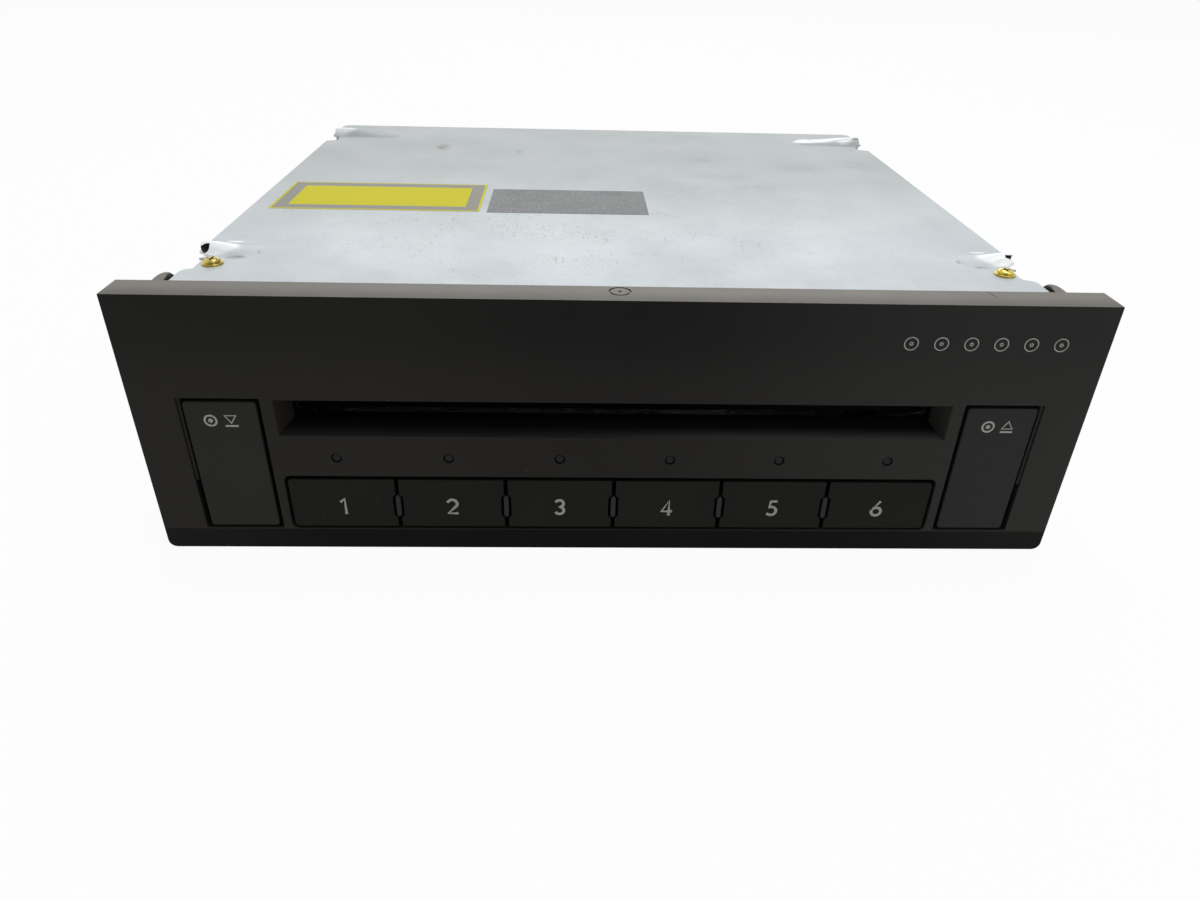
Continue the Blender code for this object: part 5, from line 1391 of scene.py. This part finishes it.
@dataclass
class Keys:
    """The two large keys and the six disc keys, with rounded faces and printed legends."""

    face: float = DEPTH_ORIGIN + 0.00025
    large_corner: float = 0.0008
    end_corner: float = 0.0011
    inner_corner: float = 0.00025
    face_round: float = 0.00036
    count: int = 6
    digit_low: float = 0.0085
    digit_height: float = 0.0040
    stroke: float = 0.00064
    legend_stroke: float = 0.00042
    ink: float = 0.00005
    legend_low: float = 0.0293
    legend_height: float = 0.0027

    def build(self, frame: dict, wardrobe: Wardrobe) -> None:
        """Makes every key and its legend.

        Args:
            frame: The loaded frame.
            wardrobe: Gives the materials.
        """
        for name in ("load_key", "eject_key"):
            self.key(name, frame["nodes"][name], wardrobe, self.large_corner, self.large_corner)
        for number in range(1, self.count + 1):
            left = self.end_corner if number == 1 else self.inner_corner
            right = self.end_corner if number == self.count else self.inner_corner
            name = f"disc_key_{number}"
            self.key(name, frame["nodes"][name], wardrobe, left, right)

    def key(self, name: str, node: bpy.types.Object, wardrobe: Wardrobe, left: float, right: float) -> None:
        """Makes one key.

        Args:
            name: Name of its solid.
            node: The solid.
            wardrobe: Where its material comes from.
            left: Radius of its left corners.
            right: Radius of its right corners.
        """
        low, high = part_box(name)
        middle = (low.x + high.x) / 2
        piece = Workpiece.copy_of(f"{name}_cap", node)

        def corner(a: Vector, b: Vector, left_side: bool) -> bool:
            """Picks the front-to-back edges at one side of the face block.

            Args:
                a: One end of the edge.
                b: Its other end.
                left_side: Whether the left side is meant.

            Returns:
                Whether the edge is picked.
            """
            x = low.x if left_side else high.x
            front = min(a.y, b.y)
            return near(a.x, x) and near(b.x, x) and near(a.z, b.z) and near(front, self.face)

        piece.bevel_edges(lambda a, b: corner(a, b, True), left, 4)
        piece.bevel_edges(lambda a, b: corner(a, b, False), right, 4)
        piece.bevel_edges(lambda a, b: near(a.y, self.face) and near(b.y, self.face), self.face_round, 3)
        piece.smooth()
        finish = KEY_FINISH if name.startswith("disc") else LARGE_KEY_FINISH
        piece.dress(wardrobe.take(finish), Slot.KEY, f"{name}_body", name)
        if name.startswith("disc"):
            paths, base, height = DIGITS[int(name[-1])], self.digit_low, self.digit_height
            left_end, stroke = middle - DIGIT_MIDDLE * height, self.stroke
        else:
            paths, base, height = LEGENDS[name], self.legend_low, self.legend_height
            left_end, stroke = middle - LEGEND_MIDDLE * height, self.legend_stroke
        legend = Workpiece.strokes(
            f"{name}_legend", paths, (left_end, self.face, base), height, stroke, self.ink
        )
        legend.dress(wardrobe.take(INK_FINISH), Slot.LIGHT, f"{name}_body")


@dataclass(frozen=True)
class Bead:
    """A pressed bead in the cover: a narrow half tube at the side that widens and sinks inwards."""

    side: int
    depth: float
    half: float
    length: float
    notch: float | None = None
    flange: float = 0.0480
    edge: float = 0.0891
    top: float = 0.0533
    height: float = 0.00198
    nose_height: float = 0.00075
    outer_share: float = 0.60
    fillet: float = 0.0008
    margin: float = 0.0016
    cell: float = 0.00034
    sunk: float = 0.00003
    base: float = 0.0528
    steep_share: float = 0.96
    ramp: float = 1.5
    ramp_delay: float = 0.22
    overrun: float = 0.001
    end_cut: float = 0.0008
    corner_cut: float = 0.0031
    mouth_turn: float = radians(30)
    mouth_inset: float = 0.0016
    mouth_back: float = 0.0002
    mouth_radius: float = 0.00090
    mouth_rise: float = 0.00090
    mouth_length: float = 0.0026

    def spread(self, x: float) -> float:
        """Share of the way from the narrow outer end to the wide nose, eased at both ends.

        Args:
            x: World X.

        Returns:
            The share, from 0 to 1.
        """
        share = (self.edge - self.side * x) / self.length * self.ramp - self.ramp_delay
        share = min(1.0, max(0.0, share))
        return share * share * (3 - 2 * share)

    def rise(self, x: float, y: float) -> float:
        """Height over the sheet at a world place, with a fillet along the foot.

        Args:
            x: World X.
            y: World Y.

        Returns:
            The height, in metres.
        """
        spread = self.spread(x)
        half = self.half * (self.outer_share + (1 - self.outer_share) * spread)
        height = self.height + (self.nose_height - self.height) * spread
        nose = self.edge - self.length + self.half
        along = min(0.0, self.side * x - nose)
        across = y - self.depth - DEPTH_ORIGIN
        share = (along * along + across * across) ** 0.5 / half
        steep = self.steep_share
        if share < steep:
            arch = height * (1 - share * share) ** 0.5
        else:
            foot = (1 - steep * steep) ** 0.5
            arch = height * (foot - (share - steep) * steep / foot)
        overlap = max(0.0, self.fillet - abs(arch)) / self.fillet
        return max(arch, 0.0) + overlap * overlap * self.fillet / 4

    def span(self, reach: float) -> tuple[tuple[float, float], tuple[float, float]]:
        """Lowest and highest world X and Y of the bead's ground, with that much on three sides.

        Args:
            reach: What is added.

        Returns:
            The two places.
        """
        xs = sorted((self.side * (self.edge - self.length - reach), self.side * self.edge))
        middle = self.depth + DEPTH_ORIGIN
        return (xs[0], middle - self.half - reach), (xs[1], middle + self.half + reach)

    def ground(self) -> Workpiece:
        """What is taken off the solid's plain bead, down to the sheet.

        Returns:
            The cutter.
        """
        low, high = self.span(self.margin / 2)
        outer = self.side * self.overrun
        low, high = (low[0] + min(0.0, outer), low[1]), (high[0] + max(0.0, outer), high[1])
        return Workpiece.block("bead_ground", (*low, self.top - TINY), (*high, self.top + self.height * 2))

    def solid(self) -> Workpiece:
        """The bead as a solid that stands on the sheet."""
        low, high = self.span(self.margin)
        return Workpiece.grid("bead", low, high, self.top - self.sunk, self.cell, self.rise, self.base)

    def mouth_axis(self) -> tuple[Vector, Vector]:
        """Foot and inward direction of the round opening in the bead's outer end.

        Returns:
            The foot and the direction.
        """
        turn = self.side * self.mouth_turn
        inwards = Vector((-sin(turn), cos(turn), 0))
        front = self.depth + DEPTH_ORIGIN - self.half * self.outer_share + self.mouth_back
        x = self.side * (self.edge - self.mouth_inset)
        return Vector((x, front, self.top + self.mouth_rise)) - inwards * self.mouth_radius, inwards

    def mouth(self) -> list[Workpiece]:
        """Cutters that shorten the bead's outer end, take the sheet's corner off and open the end.

        Returns:
            The cutters.
        """
        foot, _ = self.mouth_axis()
        turn = self.side * self.mouth_turn
        opening = Workpiece.rod("bead_mouth", foot, self.mouth_radius, self.mouth_length, "Y", 24, turn)
        far = self.half * 2
        xs = sorted((self.side * (self.edge - self.end_cut), self.side * (self.edge + far)))
        middle = self.depth + DEPTH_ORIGIN
        end = Workpiece.block("bead_end", (xs[0], middle - far, self.top - TINY),
                              (xs[1], middle + far, self.top + far))
        if self.notch is None:
            return [end, opening]
        diagonal = self.corner_cut * 2 ** 0.5 / 2
        corner = Vector((self.side * self.edge, self.notch + DEPTH_ORIGIN, 0))
        low = (corner.x - diagonal, corner.y - diagonal, self.flange)
        high = (corner.x + diagonal, corner.y + diagonal, self.top + far)
        return [end, opening, Workpiece.block("bead_corner", low, high, pi / 4)]

    def in_mouth(self, point: Vector) -> bool:
        """Tells whether a place lies inside the round opening.

        Args:
            point: The place.

        Returns:
            Whether it does.
        """
        foot, inwards = self.mouth_axis()
        away = point - foot
        along = away.dot(inwards)
        beside = (away - inwards * along).length
        return -TINY < along < self.mouth_length + TINY and beside < self.mouth_radius + TINY


FRONT_BEAD = (0.0349, 0.0036, 0.0128, 0.0312)
REAR_BEAD = (0.1570, 0.0045, 0.0223)
BEADS = (
    Bead(-1, *FRONT_BEAD),
    Bead(1, *FRONT_BEAD, mouth_turn=radians(82), mouth_inset=0.0010, mouth_back=0.0012),
    Bead(-1, *REAR_BEAD, 0.1520, mouth_turn=radians(55), mouth_inset=0.0006, mouth_back=0.0009,
         mouth_radius=0.0006, mouth_length=0.0014),
    Bead(1, *REAR_BEAD, 0.1520, mouth_turn=radians(90), mouth_inset=0.0008, mouth_back=0.0018),
)


@dataclass
class Screws:
    """The two flanged screws that hold the cover."""

    level: float = 0.0533
    flange: float = 0.0022
    flange_height: float = 0.00045
    dome: float = 0.00165
    dome_height: float = 0.0012
    dome_round: float = 0.00055
    shank: float = 0.0013
    shank_length: float = 0.0048
    recess: tuple[float, float] = (0.0011, 0.00022)
    recess_depth: float = 0.0007

    def build(self, wardrobe: Wardrobe) -> None:
        """Makes both screws.

        Args:
            wardrobe: Gives the materials.
        """
        for side in ("left", "right"):
            name = f"cover_screw_{side}"
            low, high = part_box(name)
            x, y = (low.x + high.x) / 2, (low.y + high.y) / 2
            seat = (x, y, self.level)
            screw = Workpiece.rod(f"{name}_head", seat, self.flange, self.flange_height, sides=40)
            rim = self.level + self.flange_height
            screw.bevel_edges(lambda a, b: near(a.z, rim) and near(b.z, rim), self.flange_height / 3, 3)
            dome = Workpiece.rod("screw_dome", seat, self.dome, self.dome_height, sides=40)
            crown = self.level + self.dome_height
            dome.bevel_edges(lambda a, b: near(a.z, crown) and near(b.z, crown), self.dome_round, 5)
            foot = (x, y, self.level - self.shank_length)
            shank = Workpiece.rod("screw_shank", foot, self.shank, self.shank_length + TINY * 10, sides=24)
            screw.join(dome, shank)
            for long, short in (self.recess, self.recess[::-1]):
                corner = (x - long, y - short, crown - self.recess_depth)
                far = (x + long, y + short, crown + self.recess_depth)
                screw.cut(Workpiece.block("screw_recess", corner, far))
            screw.smooth(40)
            finish = SLOT_FINISHES[Slot.YELLOW_ZINC]
            screw.dress(wardrobe.take(finish), Slot.YELLOW_ZINC, "housing", name)


@dataclass(frozen=True)
class SlotRow:
    """A row of ventilation slots: place of the first, both ends of each, their number and spacing."""

    start: float
    low: float
    high: float
    count: int
    pitch: float

    def places(self) -> list[float]:
        """Place of each slot along the row."""
        return [self.start + number * self.pitch for number in range(self.count)]


@dataclass
class Tub:
    """The folded sheet tub with rounded bends, pressed ribs, collars and ventilation slots.

    Each pressed field runs from its lower to its upper corner, given as depth and height in the side
    walls, as X and height in the rear wall and as X and depth in the floor. The floor's long field is
    on both sides.
    """

    half_width: float = 0.0880
    bottom: float = 0.0033
    rear: float = 0.1718 + DEPTH_ORIGIN
    sheet: float = 0.0008
    press: float = 0.00035
    rib_round: float = 0.0016
    rim_round: float = 0.00012
    rim_low: float = 0.0070
    rim_high: float = 0.0480
    wall_front: float = 0.0300
    floor_front: float = 0.0150
    floor_reach: float = 0.0800
    side_fields: tuple[Field, ...] = (
        (0.0330, 0.0090, 0.1590, 0.0140),
        (0.0330, 0.0385, 0.1590, 0.0425),
        (0.0640, 0.0195, 0.1160, 0.0330),
    )
    hole_depths: tuple[float, ...] = (0.0500, 0.1300)
    hole_level: float = 0.0283
    collar: float = 0.0046
    rear_fields: tuple[Field, ...] = (
        (-0.0640, 0.0095, -0.0160, 0.0325),
        (-0.0720, 0.0400, 0.0760, 0.0445),
    )
    dimples: tuple[float, ...] = (-0.0760, 0.0060, 0.0810)
    dimple_level: float = 0.0120
    long_field: Field = (0.0620, 0.0350, 0.0700, 0.1500)
    cross_field: Field = (-0.0450, 0.0280, 0.0450, 0.0340)
    foot_side: float = 0.0660
    foot_depths: tuple[float, ...] = (0.0240, 0.1600)
    ring_depth: float = 0.0800
    ring_outer: float = 0.0360
    ring_inner: float = 0.0310
    slot_width: float = 0.0018
    slot_tip: float = 0.95
    side_slots: SlotRow = SlotRow(0.1440, 0.0170, 0.0300, 5, 0.0042)
    rear_slots: SlotRow = SlotRow(0.0210, 0.0180, 0.0320, 13, 0.0042)
    floor_slots: SlotRow = SlotRow(-0.0560, 0.1180, 0.1340, 9, 0.0126)

    def build(self, frame: dict, wardrobe: Wardrobe) -> None:
        """Makes the tub.

        Args:
            frame: The loaded frame.
            wardrobe: Gives the materials.
        """
        tub = Workpiece.copy_of("tub_sheet", frame["nodes"]["chassis_tub"])
        tub.cut(*self.side_ribs(), *self.rear_ribs(), *self.floor_ribs())
        tub.bevel_edges(self.is_rim, self.rim_round, 2)
        tub.cut(*self.ventilation())
        tub.smooth(30)
        tub.dress(wardrobe.take(TUB_FINISH), Slot.SHEET, "housing", "chassis_tub")

    def rib(self, low: Point, high: Point, axis: str, rounding: float | None = None) -> Workpiece:
        """Cutter for a pressing or a slot with round corners, seen along the axis.

        Args:
            low: Lowest corner.
            high: Highest corner.
            axis: X, Y or Z.
            rounding: Radius of the corners, where it isn't a rib's.

        Returns:
            The cutter.
        """
        piece = Workpiece.block("rib_cutter", low, high)
        index = "XYZ".index(axis)

        def along(a: Vector, b: Vector) -> bool:
            """Picks the edges that run along the axis."""
            return abs(a[index] - b[index]) > self.press and all(
                near(a[other], b[other]) for other in range(3) if other != index
            )

        return piece.bevel_edges(along, rounding or self.rib_round, 4)

    def side_ribs(self) -> list[Workpiece]:
        """Two long ribs, a broad one and two round collars in each side wall.

        Returns:
            The cutters.
        """
        cutters = []
        for side in (-1, 1):
            xs = sorted((side * (self.half_width - self.press), side * (self.half_width + self.press)))
            for front, low, back, high in self.side_fields:
                corner, far = (xs[0], front + DEPTH_ORIGIN, low), (xs[1], back + DEPTH_ORIGIN, high)
                cutters.append(self.rib(corner, far, "X"))
            for depth in self.hole_depths:
                foot = (xs[0], depth + DEPTH_ORIGIN, self.hole_level)
                cutters.append(Workpiece.rod("collar_cutter", foot, self.collar, self.press * 2, "X", 40))
        return cutters

    def rear_ribs(self) -> list[Workpiece]:
        """A frame pressed around the connector, a long rib over it and three dimples.

        Returns:
            The cutters.
        """
        ys = (self.rear - self.press, self.rear + self.press)
        cutters = []
        for left, low, right, high in self.rear_fields:
            cutters.append(self.rib((left, ys[0], low), (right, ys[1], high), "Y"))
        for x in self.dimples:
            foot = (x, ys[0], self.dimple_level)
            cutters.append(Workpiece.rod("dimple_cutter", foot, self.collar / 2, self.press * 2, "Y", 32))
        return cutters

    def floor_ribs(self) -> list[Workpiece]:
        """Ribs, feet and a ring pressed into the floor from below.

        Returns:
            The cutters.
        """
        zs = (self.bottom - self.press, self.bottom + self.press)
        cutters = []
        inner, front, outer, back = self.long_field
        for side in (-1, 1):
            xs = sorted((side * inner, side * outer))
            low, high = (xs[0], front + DEPTH_ORIGIN, zs[0]), (xs[1], back + DEPTH_ORIGIN, zs[1])
            cutters.append(self.rib(low, high, "Z"))
            for depth in self.foot_depths:
                foot = (side * self.foot_side, depth + DEPTH_ORIGIN, zs[0])
                cutters.append(Workpiece.rod("foot_cutter", foot, self.collar, self.press * 2, "Z", 40))
        left, front, right, back = self.cross_field
        low, high = (left, front + DEPTH_ORIGIN, zs[0]), (right, back + DEPTH_ORIGIN, zs[1])
        cutters.append(self.rib(low, high, "Z"))
        y = self.ring_depth + DEPTH_ORIGIN
        band = Workpiece.rod("ring_cutter", (0.0, y, zs[0]), self.ring_outer, self.press * 2, sides=96)
        core = Workpiece.rod("ring_core", (0.0, y, zs[0] - TINY), self.ring_inner, self.press * 3, sides=96)
        return [*cutters, band.cut(core)]

    def ventilation(self) -> list[Workpiece]:
        """Slots through the side walls, the rear wall and the floor.

        Returns:
            The cutters.
        """
        through, width = self.sheet * 1.5, self.slot_width / 2
        tip = width * self.slot_tip
        cutters = []
        row = self.side_slots
        for side in (-1, 1):
            xs = sorted((side * (self.half_width - through), side * (self.half_width + through)))
            for y in row.places():
                y += DEPTH_ORIGIN
                cutters.append(self.rib((xs[0], y - width, row.low), (xs[1], y + width, row.high), "X", tip))
        row = self.rear_slots
        for x in row.places():
            corner = (x - width, self.rear - through, row.low)
            far = (x + width, self.rear + through, row.high)
            cutters.append(self.rib(corner, far, "Y", tip))
        row = self.floor_slots
        for x in row.places():
            corner = (x - width, row.low + DEPTH_ORIGIN, self.bottom - through)
            far = (x + width, row.high + DEPTH_ORIGIN, self.bottom + through)
            cutters.append(self.rib(corner, far, "Z", tip))
        return cutters

    def is_rim(self, a: Vector, b: Vector) -> bool:
        """Picks the rims of the pressings in the walls and the floor.

        Args:
            a: One end of the edge.
            b: Its other end.

        Returns:
            Whether the edge is picked.
        """
        widest, highest = max(abs(a.x), abs(b.x)), max(a.z, b.z)
        back = near(a.y, self.rear) and near(b.y, self.rear) and highest < self.rim_high
        if back and widest < self.half_width - self.sheet * 3:
            return True
        side = near(abs(a.x), self.half_width) and near(abs(b.x), self.half_width)
        side = side and self.rim_low < min(a.z, b.z) and highest < self.rim_high
        under = near(a.z, self.bottom) and near(b.z, self.bottom) and widest < self.floor_reach
        front = (self.wall_front if side else self.floor_front) + DEPTH_ORIGIN
        return (side or under) and front < min(a.y, b.y) and max(a.y, b.y) < self.rear - self.sheet


@dataclass
class Housing:
    """Sheet cover with its beads, and the two labels on it."""

    label_thickness: float = 0.00008
    top: float = 0.0533
    yellow_low: tuple[float, float] = (-0.0844, 0.0675)
    yellow_high: tuple[float, float] = (-0.0323, 0.0933)
    yellow_line: float = 0.0006
    yellow_border: float = 0.0032
    grey_low: tuple[float, float] = (-0.0304, 0.0669)
    grey_high: tuple[float, float] = (0.0102, 0.0891)

    def build(self, frame: dict, wardrobe: Wardrobe) -> None:
        """Dresses the cover and lays the labels on it.

        Args:
            frame: The loaded frame.
            wardrobe: Gives the materials.
        """
        cover = Workpiece.copy_of("cover_sheet", frame["nodes"]["top_cover"])
        cover.cut(*[bead.ground() for bead in BEADS])
        cover.join(*[bead.solid() for bead in BEADS])
        for bead in BEADS:
            cover.cut(*bead.mouth())
        cover.smooth(32)
        cover.dress(wardrobe.take(COVER_FINISH), Slot.SHEET, "housing", "top_cover")
        # Painted shade inside the beads' openings.
        cover.second_finish(wardrobe.take(MOUTH_PAINTED_SHADE_FINISH), self.in_any_mouth)
        self.yellow_label(wardrobe)
        self.grey_label(wardrobe)

    def in_any_mouth(self, centre: Vector, normal: Vector) -> bool:
        """Tells whether a face of the cover lies inside the opening of a bead."""
        return any(bead.in_mouth(centre) for bead in BEADS)

    def plate(self, name: str, low: tuple[float, float], high: tuple[float, float]) -> Workpiece:
        """A label's thin sheet, lying on the cover.

        Args:
            name: Name of the piece.
            low: Lowest X and depth.
            high: Highest X and depth.

        Returns:
            The piece.
        """
        corner = (low[0], low[1] + DEPTH_ORIGIN, self.top - self.label_thickness / 2)
        far = (high[0], high[1] + DEPTH_ORIGIN, self.top + self.label_thickness)
        return Workpiece.block(name, corner, far)

    def yellow_label(self, wardrobe: Wardrobe) -> None:
        """Blank yellow label with a grey border inside a thin yellow outline.

        Args:
            wardrobe: Gives the materials.
        """
        label = self.plate("yellow_label", self.yellow_low, self.yellow_high)
        for width in (self.yellow_line, self.yellow_border):
            label.inset_faces(self.is_field, width)
        label.dress(wardrobe.take(LABEL_YELLOW), Slot.PANEL, "housing")
        label.second_finish(wardrobe.take(LABEL_GREY), self.in_border)

    def rim_gap(self, point: Vector) -> float:
        """Distance from a place on the yellow label to the nearest of its four sides.

        Args:
            point: The place.

        Returns:
            The distance, in metres.
        """
        depth = point.y - DEPTH_ORIGIN
        beside = min(point.x - self.yellow_low[0], self.yellow_high[0] - point.x)
        return min(beside, depth - self.yellow_low[1], self.yellow_high[1] - depth)

    def is_field(self, centre: Vector, normal: Vector) -> bool:
        """Picks the yellow label's middle face."""
        return normal.z > UPWARD and self.rim_gap(centre) > self.yellow_line + self.yellow_border

    def in_border(self, centre: Vector, normal: Vector) -> bool:
        """Picks the four sides of the grey border."""
        inside = self.yellow_line < self.rim_gap(centre) < self.yellow_line + self.yellow_border
        return normal.z > UPWARD and inside

    def grey_label(self, wardrobe: Wardrobe) -> None:
        """Blank silver-grey label beside the yellow one.

        Args:
            wardrobe: Gives the materials.
        """
        label = self.plate("grey_label", self.grey_low, self.grey_high)
        label.bevel_edges(lambda a, b: near(a.z, b.z) and a.z > self.top, self.label_thickness / 3, 2)
        label.dress(wardrobe.take(HatchedFoil()), Slot.SHEET, "housing")


@dataclass(frozen=True)
class Softbox:
    """A soft rectangular lamp: its name, its place, its width and height, and its watts."""

    name: str
    place: Point
    size: tuple[float, float]
    power: float


SOFTBOXES = (
    Softbox("overhead_softbox", (0.12, 0.05, 0.95), (0.7, 0.5), 3.9),
    Softbox("back_softbox", (0.05, 1.10, 0.55), (1.2, 0.4), 2.0),
    Softbox("front_fill", (0.7, -0.9, 0.6), (0.6, 0.6), 2.0),
)


@dataclass
class Studio:
    """Floor, light and camera."""

    floor_size: float = 12.0
    floor_level: float = -0.0001
    floor_glow: float = 0.94
    sky_light: float = 0.45
    aim: Point = (0, 0, 0.03)
    camera_place: Point = (-0.0090, -0.2349, 0.1149)
    camera_turn: Point = (58.8312, -1.3542, -1.4459)
    lens: float = 25.947
    sensor: float = 36.0

    def build(self) -> None:
        """Sets the stage."""
        self.floor()
        self.world()
        for box in SOFTBOXES:
            self.lamp(box)
        self.camera()

    def floor(self) -> None:
        """A plain pale floor that keeps a soft shadow."""
        bpy.ops.object.select_all(action="DESELECT")
        bpy.ops.mesh.primitive_plane_add(size=self.floor_size, location=(0, 0, self.floor_level))
        floor = bpy.context.object
        floor.name = "studio_floor"
        recipe = Recipe("studio_floor_white")
        base = recipe.blend(recipe.noise(3.0), rgba((0.86, 0.86, 0.86)), rgba((0.88, 0.88, 0.88)))
        recipe.finish(Base_Color=base, Roughness=0.9, Specular_IOR_Level=0.1)
        glow = recipe.node("ShaderNodeEmission", {"Color": rgba((1, 1, 1)), "Strength": 1.0})
        path = recipe.node("ShaderNodeLightPath")
        either = recipe.maths("MAXIMUM", path.outputs["Is Camera Ray"], path.outputs["Is Glossy Ray"])
        either = recipe.maths("MAXIMUM", either, path.outputs["Is Transmission Ray"])
        seen = recipe.product(either, self.floor_glow)
        mix = recipe.node("ShaderNodeMixShader", {0: seen, 1: recipe.shader.outputs[0], 2: glow.outputs[0]})
        recipe.tree.links.new(mix.outputs[0], recipe.tree.nodes["Material Output"].inputs["Surface"])
        floor.data.materials.append(recipe.material)

    def world(self) -> None:
        """White surroundings for the eye and for reflections, dimmer as a light."""
        world = bpy.data.worlds.new("studio")
        bpy.context.scene.world = world
        world.use_nodes = True
        tree = world.node_tree
        background = tree.nodes["Background"]
        path = tree.nodes.new("ShaderNodeLightPath")
        seen = path.outputs["Is Camera Ray"]
        for kind in ("Is Transmission Ray", "Is Glossy Ray"):
            either = tree.nodes.new("ShaderNodeMath")
            either.operation = "MAXIMUM"
            tree.links.new(seen, either.inputs[0])
            tree.links.new(path.outputs[kind], either.inputs[1])
            seen = either.outputs[0]
        level = tree.nodes.new("ShaderNodeMapRange")
        tree.links.new(seen, level.inputs["Value"])
        level.inputs["To Min"].default_value = self.sky_light
        level.inputs["To Max"].default_value = 1.0
        tree.links.new(level.outputs[0], background.inputs["Strength"])
        background.inputs["Color"].default_value = (1, 1, 1, 1)

    def lamp(self, box: Softbox) -> None:
        """Hangs a lamp that looks at the object.

        Args:
            box: The lamp's name, place, size and power.
        """
        data = bpy.data.lights.new(box.name, "AREA")
        data.shape, data.energy = "RECTANGLE", box.power
        data.size, data.size_y = box.size
        lamp = bpy.data.objects.new(box.name, data)
        lamp.location = box.place
        lamp.rotation_euler = (Vector(self.aim) - Vector(box.place)).to_track_quat("-Z", "Y").to_euler()
        bpy.context.scene.collection.objects.link(lamp)

    def camera(self) -> None:
        """The camera at the photograph's viewing angle."""
        data = bpy.data.cameras.new("camera")
        data.sensor_width, data.lens = self.sensor, self.lens
        data.clip_start, data.clip_end = 0.005, 50.0
        camera = bpy.data.objects.new("camera", data)
        camera.location = self.camera_place
        camera.rotation_euler = [radians(angle) for angle in self.camera_turn]
        bpy.context.scene.collection.objects.link(camera)
        bpy.context.scene.camera = camera


def dress_solids(frame: dict, wardrobe: Wardrobe) -> None:
    """Gives every solid the finish of its material slot, inside and out.

    Args:
        frame: The loaded frame.
        wardrobe: Gives the materials.
    """
    by_slot = {slot.value: finish for slot, finish in SLOT_FINISHES.items()}
    for name, node in frame["nodes"].items():
        held = [material.name for material in node.data.materials]
        slot = next((key for key in by_slot for label in held if label.startswith(key)), Slot.FRAME.value)
        finish = NODE_FINISHES.get(name, by_slot[slot])
        for index in range(len(node.data.materials)):
            node.data.materials[index] = wardrobe.take(finish)
        LOG.info("%s in %s", name, slot)


def main() -> None:
    """Builds the looks around the solids."""
    logging.basicConfig(level=logging.INFO, format="%(name)s: %(message)s")
    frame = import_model()
    bpy.context.scene.view_settings.view_transform = "Standard"
    wardrobe = Wardrobe()
    Studio().build()
    dress_solids(frame, wardrobe)
    FrontPanel().build(frame, wardrobe)
    Keys().build(frame, wardrobe)
    Tub().build(frame, wardrobe)
    Housing().build(frame, wardrobe)
    Screws().build(wardrobe)


if __name__ == "__main__":
    main()
